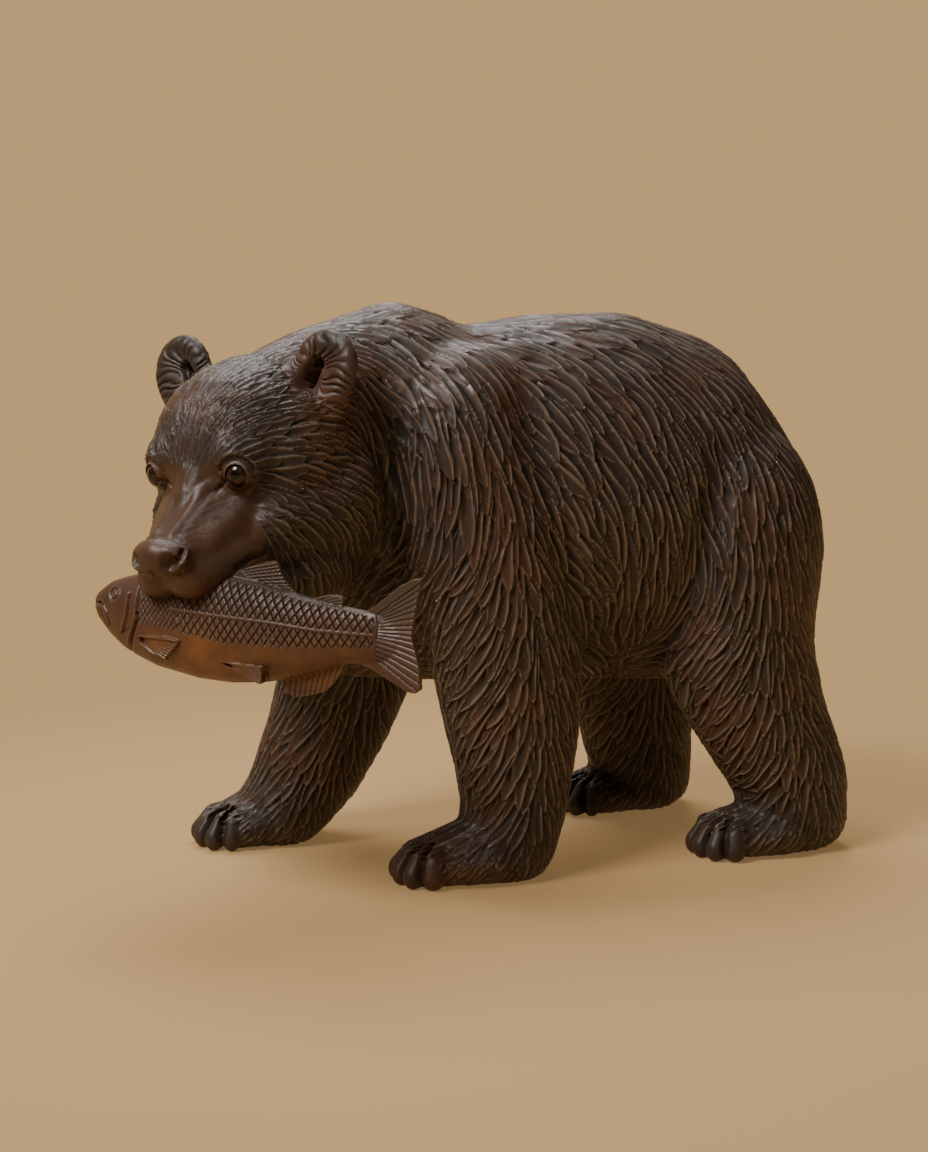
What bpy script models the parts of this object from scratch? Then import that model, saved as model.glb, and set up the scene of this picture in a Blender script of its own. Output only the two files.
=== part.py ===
"""A carved wooden bear, walking, its head turned to its left, a salmon held crosswise in its mouth.

Metres, +Z up. The bear faces -Y and its left side is +X. The figure keeps its pose and
carving as shares of its own height: every place below is given with the shoulder hump
300 steps high, and one step is U metres.
"""
import bmesh
import bpy
import math
import numpy as np
from mathutils import Matrix, Vector

for old in list(bpy.context.scene.objects):
    bpy.data.objects.remove(old, do_unlink=True)

# driving dimensions
HEIGHT = 0.300
HUMP_STEPS = 300.0
U = HEIGHT / HUMP_STEPS
GAP = 0.0003
SALMON_LENGTH = 190.0
EYE_RADIUS = 7.2
LOCK_DEPTH = 3.4
BEAR_FACES = 7300
SALMON_FACES = 1450
GRAIN = 2.3

# the head has its own axes: forward, to its left, and up
HEAD_AT = Vector((28.5, -127.0, 222.0))
HEAD_TURN = math.radians(36.0)
HEAD_ROLL = math.radians(3.5)
UP = Vector((0.0, 0.0, 1.0))
HEAD_F = Vector((math.sin(HEAD_TURN), -math.cos(HEAD_TURN), 0.0))
HEAD_LEVEL = Vector((math.cos(HEAD_TURN), math.sin(HEAD_TURN), 0.0))
HEAD_L = HEAD_LEVEL * math.cos(HEAD_ROLL) + UP * math.sin(HEAD_ROLL)
HEAD_U = UP * math.cos(HEAD_ROLL) - HEAD_LEVEL * math.sin(HEAD_ROLL)

# the salmon lies across the mouth: this point of it is between the jaws
BITE = Vector((60.0, -170.0, 150.5))
SALMON_TURN = math.radians(42.0)
SALMON_BACK = Vector((math.cos(SALMON_TURN), math.sin(SALMON_TURN), 0.0))
SALMON_SIDE = Vector((math.sin(SALMON_TURN), -math.cos(SALMON_TURN), 0.0))
BITE_SHARE = 0.292


def head_point(forward, left, up):
    return HEAD_AT + HEAD_F * forward + HEAD_L * left + HEAD_U * up


def new_object(name, mesh):
    obj = bpy.data.objects.new(name, mesh)
    bpy.context.scene.collection.objects.link(obj)
    return obj


def ellipsoid_points(centre, radii, axes, rings=10, around=16):
    """Points all over an ellipsoid."""
    points = []
    for i in range(rings + 1):
        polar = math.pi * i / rings
        count = around if 0 < i < rings else 1
        for j in range(count):
            angle = 2.0 * math.pi * j / count
            x = math.sin(polar) * math.cos(angle) * radii[0]
            y = math.sin(polar) * math.sin(angle) * radii[1]
            z = math.cos(polar) * radii[2]
            points.append(centre + axes[0] * x + axes[1] * y + axes[2] * z)
    return points


WORLD_AXES = (Vector((1.0, 0.0, 0.0)), Vector((0.0, 1.0, 0.0)), UP)
HEAD_AXES = (HEAD_F, HEAD_L, HEAD_U)


def add_hull(form, balls, axes=WORLD_AXES):
    """One convex mass stretched over a few ellipsoids."""
    part = bmesh.new()
    for centre, radii in balls:
        for point in ellipsoid_points(Vector(centre), radii, axes):
            part.verts.new(point * U)
    found = bmesh.ops.convex_hull(part, input=part.verts)
    loose = [v for v in found["geom_interior"] + found["geom_unused"] if isinstance(v, bmesh.types.BMVert)]
    bmesh.ops.delete(part, geom=list(set(loose)), context="VERTS")
    bmesh.ops.recalc_face_normals(part, faces=part.faces)
    mesh = bpy.data.meshes.new("mass")
    part.to_mesh(mesh)
    part.free()
    form.from_mesh(mesh)
    bpy.data.meshes.remove(mesh)


def chain(form, balls, axes=WORLD_AXES):
    """A limb or trunk: neighbouring ellipsoids joined two by two."""
    for first, second in zip(balls, balls[1:]):
        add_hull(form, [first, second], axes)


def local(balls):
    return [(tuple(head_point(*centre)), radii) for centre, radii in balls]


# the masses of the body, each as centre and half sizes
TRUNK = [
    ((0, -66, 216), (55, 36, 79)),
    ((0, -42, 223), (60, 48, 82)),
    ((0, -4, 197), (76, 46, 94)),
    ((0, 42, 196), (80, 52, 101)),
    ((0, 84, 195), (81, 56, 103)),
    ((0, 125, 187), (79, 59, 98)),
    ((0, 156, 164), (68, 53, 77)),
]
BREAST = [
    ((0, -60, 160), (44, 35, 58)),
    ((0, -10, 150), (58, 50, 52)),
]
NECK = [
    ((0, -58, 228), (56, 40, 72)),
    ((10, -88, 226), (53, 42, 66)),
    ((24, -112, 222), (52, 40, 61)),
]
THROAT = [
    ((4, -76, 176), (40, 34, 50)),
    ((24, -106, 184), (38, 34, 42)),
]
LEG_FRONT_LEFT = [
    ((38, -14, 214), (40, 50, 70)),
    ((48, 0, 168), (36, 47, 44)),
    ((52, 5, 118), (32, 42, 34)),
    ((54, 9, 74), (28, 36, 26)),
    ((55, 9, 38), (27, 29, 20)),
    ((56, 2, 13), (28, 28, 18)),
]
LEG_FRONT_RIGHT = [
    ((-38, -44, 208), (40, 48, 70)),
    ((-48, -46, 160), (36, 46, 46)),
    ((-50, -48, 108), (32, 40, 34)),
    ((-52, -62, 66), (29, 36, 26)),
    ((-54, -76, 34), (28, 32, 20)),
    ((-56, -92, 13), (28, 28, 18)),
]
LEG_BACK_LEFT = [
    ((42, 141, 168), (44, 54, 74)),
    ((50, 141, 116), (36, 45, 42)),
    ((56, 153, 78), (30, 39, 30)),
    ((58, 172, 42), (27, 34, 26)),
    ((58, 176, 14), (26, 31, 18)),
]
LEG_BACK_RIGHT = [
    ((-42, 126, 166), (44, 54, 74)),
    ((-50, 118, 114), (36, 44, 42)),
    ((-55, 126, 76), (30, 39, 30)),
    ((-56, 131, 40), (27, 33, 26)),
    ((-56, 134, 14), (26, 30, 18)),
]
# each paw: middle of its sole, half length, half width, height of the instep, yaw
PAWS = {
    "front_left": ((56, -26), 38, 27, 33, -0.20),
    "front_right": ((-56, -106), 39, 27, 33, 0.10),
    "back_left": ((60, 146), 38, 26, 30, -0.12),
    "back_right": ((-55, 112), 36, 26, 30, 0.05),
}
TOE_ANGLES = (-52, -27, -3, 21, 47)
TOE_SIZES = (8.2, 8.8, 9.2, 9.0, 9.6)

HEAD_MASSES = [
    [((-8, 0, 3), (54, 57, 55)), ((14, 0, 8), (36, 44, 44))],
    [((-18, 33, -18), (34, 30, 38)), ((12, 27, -26), (28, 22, 26))],
    [((-18, -33, -18), (34, 30, 38)), ((12, -27, -26), (28, 22, 26))],
    [((-6, 24, -48), (34, 27, 26)), ((18, 16, -50), (22, 16, 18))],
    [((-6, -24, -48), (34, 27, 26)), ((18, -16, -50), (22, 16, 18))],
    [((30, 21, 6), (19, 18, 18)), ((30, -21, 6), (19, 18, 18))],
    [((30, 0, -18), (19, 34, 24)), ((60, 0, -38), (17, 20, 15))],
    [((52, 0, -34), (14, 19, 13)), ((75, 0, -38), (10, 17, 10))],
    [((34, 16, -40), (20, 18, 16)), ((63, 9, -49), (14, 13, 11))],
    [((34, -16, -40), (20, 18, 16)), ((63, -9, -49), (14, 13, 11))],
    [((20, 0, -60), (26, 24, 20)), ((32, 0, -76), (14, 16, 12))],
]


def paw_axes(yaw):
    forward = Vector((math.sin(yaw), -math.cos(yaw), 0.0))
    side = Vector((math.cos(yaw), math.sin(yaw), 0.0))
    return forward, side


def add_paw(form, paw):
    (x, y), length, width, instep, yaw = paw
    forward, side = paw_axes(yaw)
    middle = Vector((x, y, 0.0))
    axes = (forward, side, UP)
    heel = (middle - forward * (length * 0.45) + UP * 12, (length * 0.5, width * 0.95, 14))
    top = (middle - forward * (length * 0.36) + UP * (instep - 9), (length * 0.42, width * 0.62, 10))
    ball = (middle + forward * (length * 0.34) + UP * 10, (length * 0.46, width * 0.92, 12))
    knuckles = (middle + forward * (length * 0.36) + UP * 15, (length * 0.34, width * 0.72, 9))
    add_hull(form, [heel, top, ball, knuckles], axes)
    for angle, size in zip(TOE_ANGLES, TOE_SIZES):
        turned = math.radians(angle)
        way = forward * math.cos(turned) * 0.98 + side * math.sin(turned)
        root = middle + forward * 6 + way * (length * 0.30)
        reach = length * 0.62 if abs(angle) < 40 else length * 0.53
        tip = middle + forward * 6 + way * reach
        add_hull(form, [(root + UP * 13, (size, size, 8.5)), (tip + UP * 8.5, (size * 0.92, size * 0.92, 8.0))])


def shape_ear(form, side):
    """A thick round disc set on the crown, a little cupped forwards."""
    middle = head_point(-6, 47 * side, 49)
    facing = (HEAD_F * 0.97 + HEAD_L * 0.05 * side + HEAD_U * 0.14).normalized()
    rise = HEAD_U * 0.93 + HEAD_L * 0.30 * side
    rise = (rise - facing * rise.dot(facing)).normalized()
    across = facing.cross(rise).normalized()
    axes = (facing, across, rise)
    add_hull(form, [(middle, (7.5, 20, 21)), (middle - rise * 18 - facing * 3, (9, 17, 14))], axes)
    return middle, facing, rise


def joined(form, name):
    mesh = bpy.data.meshes.new(name)
    form.to_mesh(mesh)
    form.free()
    return new_object(name, mesh)


def add_modifier(obj, kind, **settings):
    modifier = obj.modifiers.new(kind.lower(), kind)
    for key, value in settings.items():
        setattr(modifier, key, value)
    return modifier


def bake(obj):
    """Take the shape that the modifiers give and keep it as the mesh."""
    graph = bpy.context.evaluated_depsgraph_get()
    graph.update()
    shaped = bpy.data.meshes.new_from_object(obj.evaluated_get(graph))
    old = obj.data
    obj.modifiers.clear()
    obj.data = shaped
    shaped.name = old.name
    bpy.data.meshes.remove(old)
    return obj


def coordinates(mesh):
    flat = np.zeros(len(mesh.vertices) * 3)
    mesh.vertices.foreach_get("co", flat)
    return flat.reshape(-1, 3) / U


def vertex_normals(mesh):
    flat = np.zeros(len(mesh.vertices) * 3)
    mesh.vertices.foreach_get("normal", flat)
    return flat.reshape(-1, 3)


def set_coordinates(mesh, places):
    mesh.vertices.foreach_set("co", (places * U).ravel())
    mesh.update()


def soft_step(values):
    values = np.clip(values, 0.0, 1.0)
    return values * values * (3.0 - 2.0 * values)


def press(places, centre, radius, move, power=1.0):
    """Move the points near a centre, fully at the centre and not at all at the radius."""
    distance = np.linalg.norm(places - np.array(centre), axis=1)
    share = soft_step(1.0 - distance / radius) ** power
    places += share[:, None] * np.array(move)


def groove(places, path, width, move):
    """Press a line of points in along a path."""
    nearest = np.full(len(places), 1e9)
    for first, second in zip(path, path[1:]):
        a = np.array(first)
        along = np.array(second) - a
        t = np.clip(((places - a) @ along) / (along @ along), 0.0, 1.0)
        distance = np.linalg.norm(places - a - t[:, None] * along, axis=1)
        nearest = np.minimum(nearest, distance)
    share = soft_step(1.0 - nearest / width)
    places += share[:, None] * np.array(move)


# the lie of the fur: a place on the body and the way the locks run there
FLOW = [
    ((0, -42, 303), (0, 1.0, -0.1)),
    ((0, 20, 292), (0, 1.0, 0)),
    ((0, 90, 298), (0, 1.0, -0.1)),
    ((0, 160, 265), (0, 0.75, -0.7)),
    ((0, 214, 180), (0, 0.1, -1.0)),
    ((50, -30, 270), (0.3, 0.7, -0.7)),
    ((-50, -50, 270), (-0.3, 0.7, -0.7)),
    ((75, -20, 200), (0, 0.25, -1.0)),
    ((-75, -40, 200), (0, 0.25, -1.0)),
    ((80, 40, 200), (0, 0.45, -0.9)),
    ((-80, 40, 200), (0, 0.45, -0.9)),
    ((80, 100, 230), (0, 0.6, -0.8)),
    ((-80, 100, 230), (0, 0.6, -0.8)),
    ((78, 60, 140), (0, 0.15, -1.0)),
    ((-78, 60, 140), (0, 0.15, -1.0)),
    ((84, 150, 170), (0, 0.2, -1.0)),
    ((-84, 130, 170), (0, 0.2, -1.0)),
    ((50, 195, 120), (0, 0.4, -0.9)),
    ((-50, 175, 120), (0, 0.4, -0.9)),
    ((70, 0, 110), (0, 0.2, -1.0)),
    ((-70, -50, 110), (0, 0.2, -1.0)),
    ((60, -30, 90), (0, -0.5, -0.9)),
    ((60, 40, 90), (0, 0.6, -0.8)),
    ((60, 10, 40), (0, -0.1, -1.0)),
    ((60, -30, 28), (0, -0.95, -0.3)),
    ((-55, -115, 28), (0, -0.95, -0.3)),
    ((-56, -70, 50), (0, -0.3, -1.0)),
    ((60, 135, 26), (0, -0.95, -0.3)),
    ((-55, 100, 26), (0, -0.95, -0.3)),
    ((60, 170, 60), (0, 0.2, -1.0)),
    ((-56, 130, 60), (0, 0.1, -1.0)),
    ((0, 60, 94), (0, 1.0, 0)),
    ((0, -96, 150), (0, 0.1, -1.0)),
]
HEAD_FLOW = [
    ((40, 0, 20), (-0.7, 0, 0.7)),
    ((10, 0, 58), (-1.0, 0, 0)),
    ((10, 48, 10), (-0.9, 0.2, 0.0)),
    ((10, -48, 10), (-0.9, -0.2, 0.0)),
    ((0, 55, -20), (-0.7, 0, -0.7)),
    ((0, -55, -20), (-0.7, 0, -0.7)),
    ((0, 40, -60), (-0.6, 0, -0.8)),
    ((0, -40, -60), (-0.6, 0, -0.8)),
    ((-40, 40, 20), (-0.9, 0.1, -0.4)),
    ((-40, -40, 20), (-0.9, -0.1, -0.4)),
]


def flow_table():
    places = []
    ways = []
    for place, way in FLOW:
        places.append(place)
        ways.append(Vector(way).normalized())
    for place, way in HEAD_FLOW:
        places.append(head_point(*place))
        ways.append((HEAD_F * way[0] + HEAD_L * way[1] + UP * way[2]).normalized())
    return np.array([list(p) for p in places]), np.array([list(w) for w in ways])


def flow_at(points, normals, reach=26.0):
    places, ways = flow_table()
    away = points[:, None, :] - places[None, :, :]
    weight = 1.0 / ((away ** 2).sum(axis=2) + reach ** 2 * 0.15) ** 1.6
    way = weight @ ways
    way -= (way * normals).sum(axis=1)[:, None] * normals
    length = np.linalg.norm(way, axis=1)
    return way / np.maximum(length, 1e-9)[:, None]


def scatter(points, spacing, seed):
    """Pick well spaced points: walk a shuffled list and keep those clear of the kept ones."""
    order = np.random.default_rng(seed).permutation(len(points))
    cell = float(spacing.max())
    kept = {}
    chosen = []
    for index in order:
        p = points[index]
        key = (int(p[0] // cell), int(p[1] // cell), int(p[2] // cell))
        clear = True
        for dx in (-1, 0, 1):
            for dy in (-1, 0, 1):
                for dz in (-1, 0, 1):
                    for q in kept.get((key[0] + dx, key[1] + dy, key[2] + dz), ()):
                        if np.sum((p - q) ** 2) < spacing[index] ** 2:
                            clear = False
                            break
                    if not clear:
                        break
                if not clear:
                    break
            if not clear:
                break
        if clear:
            kept.setdefault(key, []).append(p)
            chosen.append(index)
    return np.array(chosen)


def head_local(points):
    away = points - np.array(HEAD_AT)
    return np.stack([away @ np.array(HEAD_F), away @ np.array(HEAD_L), away[:, 2]], axis=1)


def lock_mask(points):
    """How deep the locks are cut: not at all on the muzzle, the toes and the soles."""
    mask = soft_step((points[:, 2] - 14.0) / 12.0)
    f, l, u = head_local(points).T
    face = soft_step((f - 18.0) / 16.0) * soft_step((34.0 - u) / 14.0) * soft_step((36.0 - np.abs(l)) / 10.0)
    mask *= 1.0 - face * (points[:, 1] < -100.0)
    return mask


def cut_locks(mesh, length, width, depth, seed):
    """Cut long shallow scoops along the fur, each running out over the next."""
    places = coordinates(mesh)
    normals = vertex_normals(mesh)
    spacing = np.full(len(places), math.sqrt(length * width) * 0.66)
    chosen = scatter(places, spacing, seed)
    ways = flow_at(places[chosen], normals[chosen])
    height = np.full(len(places), 1.0)
    rng = np.random.default_rng(seed + 1)
    for number, index in enumerate(chosen):
        p = places[index]
        n = normals[index]
        d = ways[number]
        w = np.cross(n, d)
        near = np.where(np.abs(places - p).max(axis=1) < length)[0]
        away = places[near] - p
        s = away @ d / length
        t = away @ w / width
        facing = normals[near] @ n
        bottom = rng.uniform(-0.15, 0.15)
        scoop = bottom + 1.1 * t * t + np.where(s < 0.0, 5.0 * s * s, 1.3 * s * s) + 0.5 * s
        scoop = np.where(facing > 0.3, scoop, 1.0)
        height[near] = np.minimum(height[near], scoop)
    cut = (np.clip(height, -0.3, 1.0) - 0.35) * depth * lock_mask(places)
    places += normals * cut[:, None]
    set_coordinates(mesh, places)


def eye_place(side):
    return head_point(41.0, 25.6 * side, 0.0)


def eye_gaze(side):
    return (HEAD_F * 0.93 + HEAD_L * 0.36 * side).normalized()


def carve_face(mesh):
    places = coordinates(mesh)
    f = np.array(HEAD_F)
    l = np.array(HEAD_L)
    up = np.array(UP)
    for side in (1, -1):
        press(places, head_point(52, 17 * side, -3), 13, -f * 3.5 - l * side * 1.0)
        eye = np.array(eye_place(side))
        away = places - eye
        gaze = np.array(eye_gaze(side))
        ahead = away @ gaze
        off = np.linalg.norm(away - ahead[:, None] * gaze, axis=1)
        ring = soft_step(1.0 - np.abs(off - 6.2) / 3.4) * (ahead > 0.0)
        target = 6.7 - ahead
        places += (ring * np.clip(target, -3.0, 3.0))[:, None] * gaze
        press(places, head_point(80, 8 * side, -44), 7, -f * 4.5 + l * side * 1.0)
        middle, facing, rise = ear_frames[side]
        press(places, middle + facing * 7 + rise * 1, 17, -facing * 5.0)
        press(places, middle + facing * 5 - rise * 8 - HEAD_L * side * 7, 12, -facing * 5.0)
    groove(places, [head_point(80, 0, -48), head_point(78, 0, -56), head_point(68, 0, -64)], 4.5, -f * 3.0)
    set_coordinates(mesh, places)


# the hollows between the big muscles: a path, its half width, and how far it is pressed in
HOLLOWS = [
    ([(72, 6, 250), (80, 19, 215), (82, 28, 180), (80, 36, 140), (72, 40, 112)], 17.0, (-3.6, 1.0, 0)),
    ([(-72, -34, 250), (-80, -20, 215), (-82, -10, 180), (-80, -3, 140), (-72, 2, 112)], 17.0, (3.6, 1.0, 0)),
    ([(76, 122, 225), (82, 110, 190), (82, 102, 155), (74, 98, 118)], 17.0, (-3.6, -1.0, 0)),
    ([(-76, 100, 225), (-82, 88, 190), (-82, 80, 155), (-74, 76, 118)], 17.0, (3.6, -1.0, 0)),
    ([(54, -62, 268), (62, -66, 232), (58, -60, 186)], 14.0, (-3.5, 1.5, 0)),
    ([(-40, -88, 268), (-52, -90, 232), (-50, -84, 186)], 14.0, (3.5, 1.5, 0)),
    ([(0, 30, 297), (0, 60, 299), (0, 100, 295)], 9.0, (0, 0, -0.8)),
]


def carve_muscles(mesh):
    places = coordinates(mesh)
    for path, width, move in HOLLOWS:
        groove(places, path, width, move)
    set_coordinates(mesh, places)


def carve_toes(mesh):
    """Clefts between the toes."""
    places = coordinates(mesh)
    for paw in PAWS.values():
        (x, y), length, width, instep, yaw = paw
        forward, side = paw_axes(yaw)
        middle = Vector((x, y, 0.0)) + forward * 6
        for left, right in zip(TOE_ANGLES, TOE_ANGLES[1:]):
            turned = math.radians((left + right) / 2)
            way = forward * math.cos(turned) * 0.98 + side * math.sin(turned)
            start = middle + way * (length * 0.50) + UP * 22
            end = middle + way * (length * 0.86) + UP * 4
            groove(places, [start, end], 5.0, -np.array(way) * 3.4 - np.array(UP) * 1.6)
    set_coordinates(mesh, places)


def flat_soles(obj, height):
    """Cut the figure off level and close the cut, so that it stands on flat soles."""
    body = bmesh.new()
    body.from_mesh(obj.data)
    geometry = body.verts[:] + body.edges[:] + body.faces[:]
    cut = bmesh.ops.bisect_plane(body, geom=geometry, plane_co=(0, 0, height), plane_no=(0, 0, -1),
                                 clear_outer=True, dist=1e-6)
    rim = [e for e in cut["geom_cut"] if isinstance(e, bmesh.types.BMEdge)]
    bmesh.ops.holes_fill(body, edges=rim, sides=0)
    bmesh.ops.triangulate(body, faces=[f for f in body.faces if len(f.verts) > 4])
    bmesh.ops.recalc_face_normals(body, faces=body.faces)
    body.to_mesh(obj.data)
    body.free()


def level_soles(obj, reach):
    """Lay every point of the skin that is near the ground exactly on it."""
    places = coordinates(obj.data)
    places[places[:, 2] < reach, 2] = 0.0
    set_coordinates(obj.data, places)


def bear_form():
    form = bmesh.new()
    chain(form, TRUNK)
    chain(form, BREAST)
    chain(form, NECK)
    chain(form, THROAT)
    chain(form, LEG_FRONT_LEFT)
    chain(form, LEG_FRONT_RIGHT)
    chain(form, LEG_BACK_LEFT)
    chain(form, LEG_BACK_RIGHT)
    bear = joined(form, "bear")
    add_modifier(bear, "REMESH", mode="VOXEL", voxel_size=GRAIN * U, use_smooth_shade=False)
    add_modifier(bear, "SMOOTH", factor=0.5, iterations=26)
    bake(bear)
    form = bmesh.new()
    form.from_mesh(bear.data)
    for balls in HEAD_MASSES:
        add_hull(form, local(balls), HEAD_AXES)
    for paw in PAWS.values():
        add_paw(form, paw)
    for side in (1, -1):
        ear_frames[side] = shape_ear(form, side)
    form.to_mesh(bear.data)
    form.free()
    add_modifier(bear, "REMESH", mode="VOXEL", voxel_size=GRAIN * U, use_smooth_shade=False)
    add_modifier(bear, "SMOOTH", factor=0.5, iterations=7)
    bake(bear)
    return bear


ear_frames = {}


def salmon_sections():
    """Share of the length, heights of the back and the belly, half width."""
    return [
        (0.000, 6.5, 0.5, 1.6),
        (0.015, 10.0, -4.5, 4.0),
        (0.055, 15.5, -12.0, 7.5),
        (0.100, 18.5, -18.0, 10.5),
        (0.140, 20.4, -21.5, 12.0),
        (0.210, 22.5, -25.9, 14.0),
        (0.340, 24.0, -29.7, 15.5),
        (0.440, 24.0, -30.2, 15.5),
        (0.530, 22.0, -28.5, 14.5),
        (0.640, 17.5, -24.3, 12.0),
        (0.726, 14.8, -18.8, 9.5),
        (0.774, 13.8, -15.6, 8.0),
        (0.830, 13.0, -14.0, 6.0),
        (0.880, 13.0, -14.0, 4.0),
    ]


def salmon_point(share, across, rise):
    return (BITE + SALMON_BACK * ((share - BITE_SHARE) * SALMON_LENGTH)
            + SALMON_SIDE * across + UP * rise)


def smooth_sections(table, count):
    shares = np.array([row[0] for row in table])
    wanted = np.linspace(shares[0], shares[-1], count) ** 1.0
    columns = [np.interp(wanted, shares, [row[k] for row in table]) for k in (1, 2, 3)]
    return wanted, columns


def loft(form, rings):
    """A closed skin over rings of points, capped at both ends."""
    loops = [[form.verts.new(Vector(p) * U) for p in ring] for ring in rings]
    for first, second in zip(loops, loops[1:]):
        for j in range(len(first)):
            k = (j + 1) % len(first)
            form.faces.new((first[j], first[k], second[k], second[j]))
    form.faces.new(list(reversed(loops[0])))
    form.faces.new(loops[-1])


def add_fin(form, outline, thickness):
    """A thin fin: a flat outline with a little thickness across the fish."""
    rings = []
    for offset in (-1.0, 1.0):
        rings.append([salmon_point(s, a + offset * thickness, r) for s, a, r in outline])
    loops = [[form.verts.new(Vector(p) * U) for p in ring] for ring in rings]
    count = len(outline)
    for j in range(count):
        k = (j + 1) % count
        form.faces.new((loops[0][j], loops[0][k], loops[1][k], loops[1][j]))
    form.faces.new(list(reversed(loops[0])))
    form.faces.new(loops[1])


TAIL_FIN = [(0.83, 0, 12.5), (0.911, 0, 23.5), (0.968, 0, 29.9), (1.004, 0, 30.4), (0.987, 0, 9.0),
            (0.981, 0, 1.0), (0.985, 0, -9.0), (0.994, 0, -25.8), (0.932, 0, -23.4), (0.84, 0, -15.5)]
BACK_FIN = [(0.43, 0, 18.0), (0.455, 0, 27.0), (0.50, 0, 29.4), (0.545, 0, 32.0), (0.572, 0, 33.0),
            (0.592, 0, 28.0), (0.622, 0, 20.0), (0.64, 0, 13.0)]
SMALL_FIN = [(0.66, 0, 13.0), (0.71, 0, 18.6), (0.741, 0, 20.0), (0.778, 0, 17.2), (0.75, 0, 11.0)]
VENT_FIN = [(0.585, 0, -22.0), (0.61, 0, -33.0), (0.67, 0, -31.0), (0.734, 0, -26.1), (0.785, 0, -14.0),
            (0.68, 0, -16.0)]


def salmon_form():
    form = bmesh.new()
    shares, (above, below, half) = smooth_sections(salmon_sections(), 30)
    rings = []
    for share, a, b, w in zip(shares, above, below, half):
        ring = []
        for j in range(20):
            angle = 2.0 * math.pi * j / 20
            rise = (a + b) / 2 + math.sin(angle) * (a - b) / 2
            ring.append(salmon_point(share, math.cos(angle) * w, rise))
        rings.append(ring)
    loft(form, rings)
    add_fin(form, TAIL_FIN, 2.0)
    add_fin(form, BACK_FIN, 2.0)
    add_fin(form, SMALL_FIN, 2.2)
    add_fin(form, VENT_FIN, 1.8)
    bmesh.ops.recalc_face_normals(form, faces=form.faces)
    for side in (1, -1):
        for root, tip, size in (((0.180, 10.5, -11.0), (0.290, 15.5, -15.5), 5.2),
                                ((0.445, 9.5, -20.5), (0.565, 12.5, -24.0), 4.2)):
            start = salmon_point(root[0], root[1] * side, root[2])
            end = salmon_point(tip[0], tip[1] * side, tip[2])
            add_hull(form, [(start, (2.6, 2.6, size * 0.7)), (end, (2.2, 2.2, size))])
    salmon = joined(form, "salmon")
    add_modifier(salmon, "REMESH", mode="VOXEL", voxel_size=1.2 * U, use_smooth_shade=False)
    add_modifier(salmon, "SMOOTH", factor=0.5, iterations=3)
    bake(salmon)
    places = coordinates(salmon.data)
    side = np.array(SALMON_SIDE)
    for sign in (1, -1):
        gill = [salmon_point(0.163, 9 * sign, 18), salmon_point(0.182, 13 * sign, 2), salmon_point(0.128, 9 * sign, -17)]
        groove(places, gill, 3.0, -side * sign * 1.3)
        mouth = [salmon_point(0.0, 2 * sign, 3.0), salmon_point(0.062, 7 * sign, -8.5)]
        groove(places, mouth, 2.6, -side * sign * 1.6)
        press(places, salmon_point(0.085, 8 * sign, 10.0), 4.0, -side * sign * 1.0)
        line = [salmon_point(0.14, 15 * sign, 4), salmon_point(0.5, 15 * sign, 1), salmon_point(0.86, 6 * sign, 0)]
        groove(places, line, 2.4, -side * sign * 0.7)
    set_coordinates(salmon.data, places)
    return salmon


def decimated(obj, faces, keep=None, middle=0):
    """Fewer triangles; with a keep test, the points it picks stay as fine as the middle count."""
    add_modifier(obj, "TRIANGULATE")
    bake(obj)
    if keep is not None:
        add_modifier(obj, "DECIMATE", decimate_type="COLLAPSE", ratio=middle / len(obj.data.polygons))
        bake(obj)
        group = obj.vertex_groups.new(name="coarse")
        coarse = np.where(~keep(coordinates(obj.data)))[0]
        group.add([int(i) for i in coarse], 1.0, "REPLACE")
        add_modifier(obj, "DECIMATE", decimate_type="COLLAPSE", vertex_group="coarse",
                     ratio=faces / len(obj.data.polygons))
    else:
        add_modifier(obj, "DECIMATE", decimate_type="COLLAPSE", ratio=faces / len(obj.data.polygons))
    bake(obj)
    obj.vertex_groups.clear()


def face_and_toes(points):
    """The parts that keep a finer skin: the face, the ears and the toes."""
    f, l, u = head_local(points).T
    face = (f > 14.0) & (np.abs(l) < 46.0) & (points[:, 2] > 146.0) & (points[:, 1] < -110.0)
    ears = (np.abs(f + 6.0) < 14.0) & (np.abs(np.abs(l) - 50.0) < 24.0) & (u > 34.0) & (points[:, 1] < -70.0)
    toes = np.zeros(len(points), bool)
    for (x, y), length, width, instep, yaw in PAWS.values():
        forward, side = paw_axes(yaw)
        ahead = (points[:, 0] - x) * forward.x + (points[:, 1] - y) * forward.y
        aside = (points[:, 0] - x) * side.x + (points[:, 1] - y) * side.y
        toes |= (ahead > length * 0.42) & (ahead < length * 1.4) & (np.abs(aside) < width * 1.3) & (points[:, 2] < 24)
    return face | ears | toes


def swollen(obj, name, by):
    """A copy grown outwards by a small gap, to cut its seat."""
    copy = new_object(name, obj.data.copy())
    mesh = copy.data
    places = coordinates(mesh)
    places += vertex_normals(mesh) * (by / U)
    set_coordinates(mesh, places)
    copy.hide_render = True
    copy.display_type = "WIRE"
    return copy


def cut_away(obj, cutter):
    add_modifier(obj, "BOOLEAN", object=cutter, operation="DIFFERENCE", solver="EXACT")
    bake(obj)
    bpy.data.objects.remove(cutter, do_unlink=True)


def keep_largest(obj):
    """Drop any crumb of wood that a cut leaves loose."""
    body = bmesh.new()
    body.from_mesh(obj.data)
    left = set(body.verts)
    groups = []
    while left:
        group = [left.pop()]
        for vert in group:
            for edge in vert.link_edges:
                other = edge.other_vert(vert)
                if other in left:
                    left.remove(other)
                    group.append(other)
        groups.append(group)
    groups.sort(key=len)
    for group in groups[:-1]:
        bmesh.ops.delete(body, geom=group, context="VERTS")
    body.to_mesh(obj.data)
    body.free()


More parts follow.
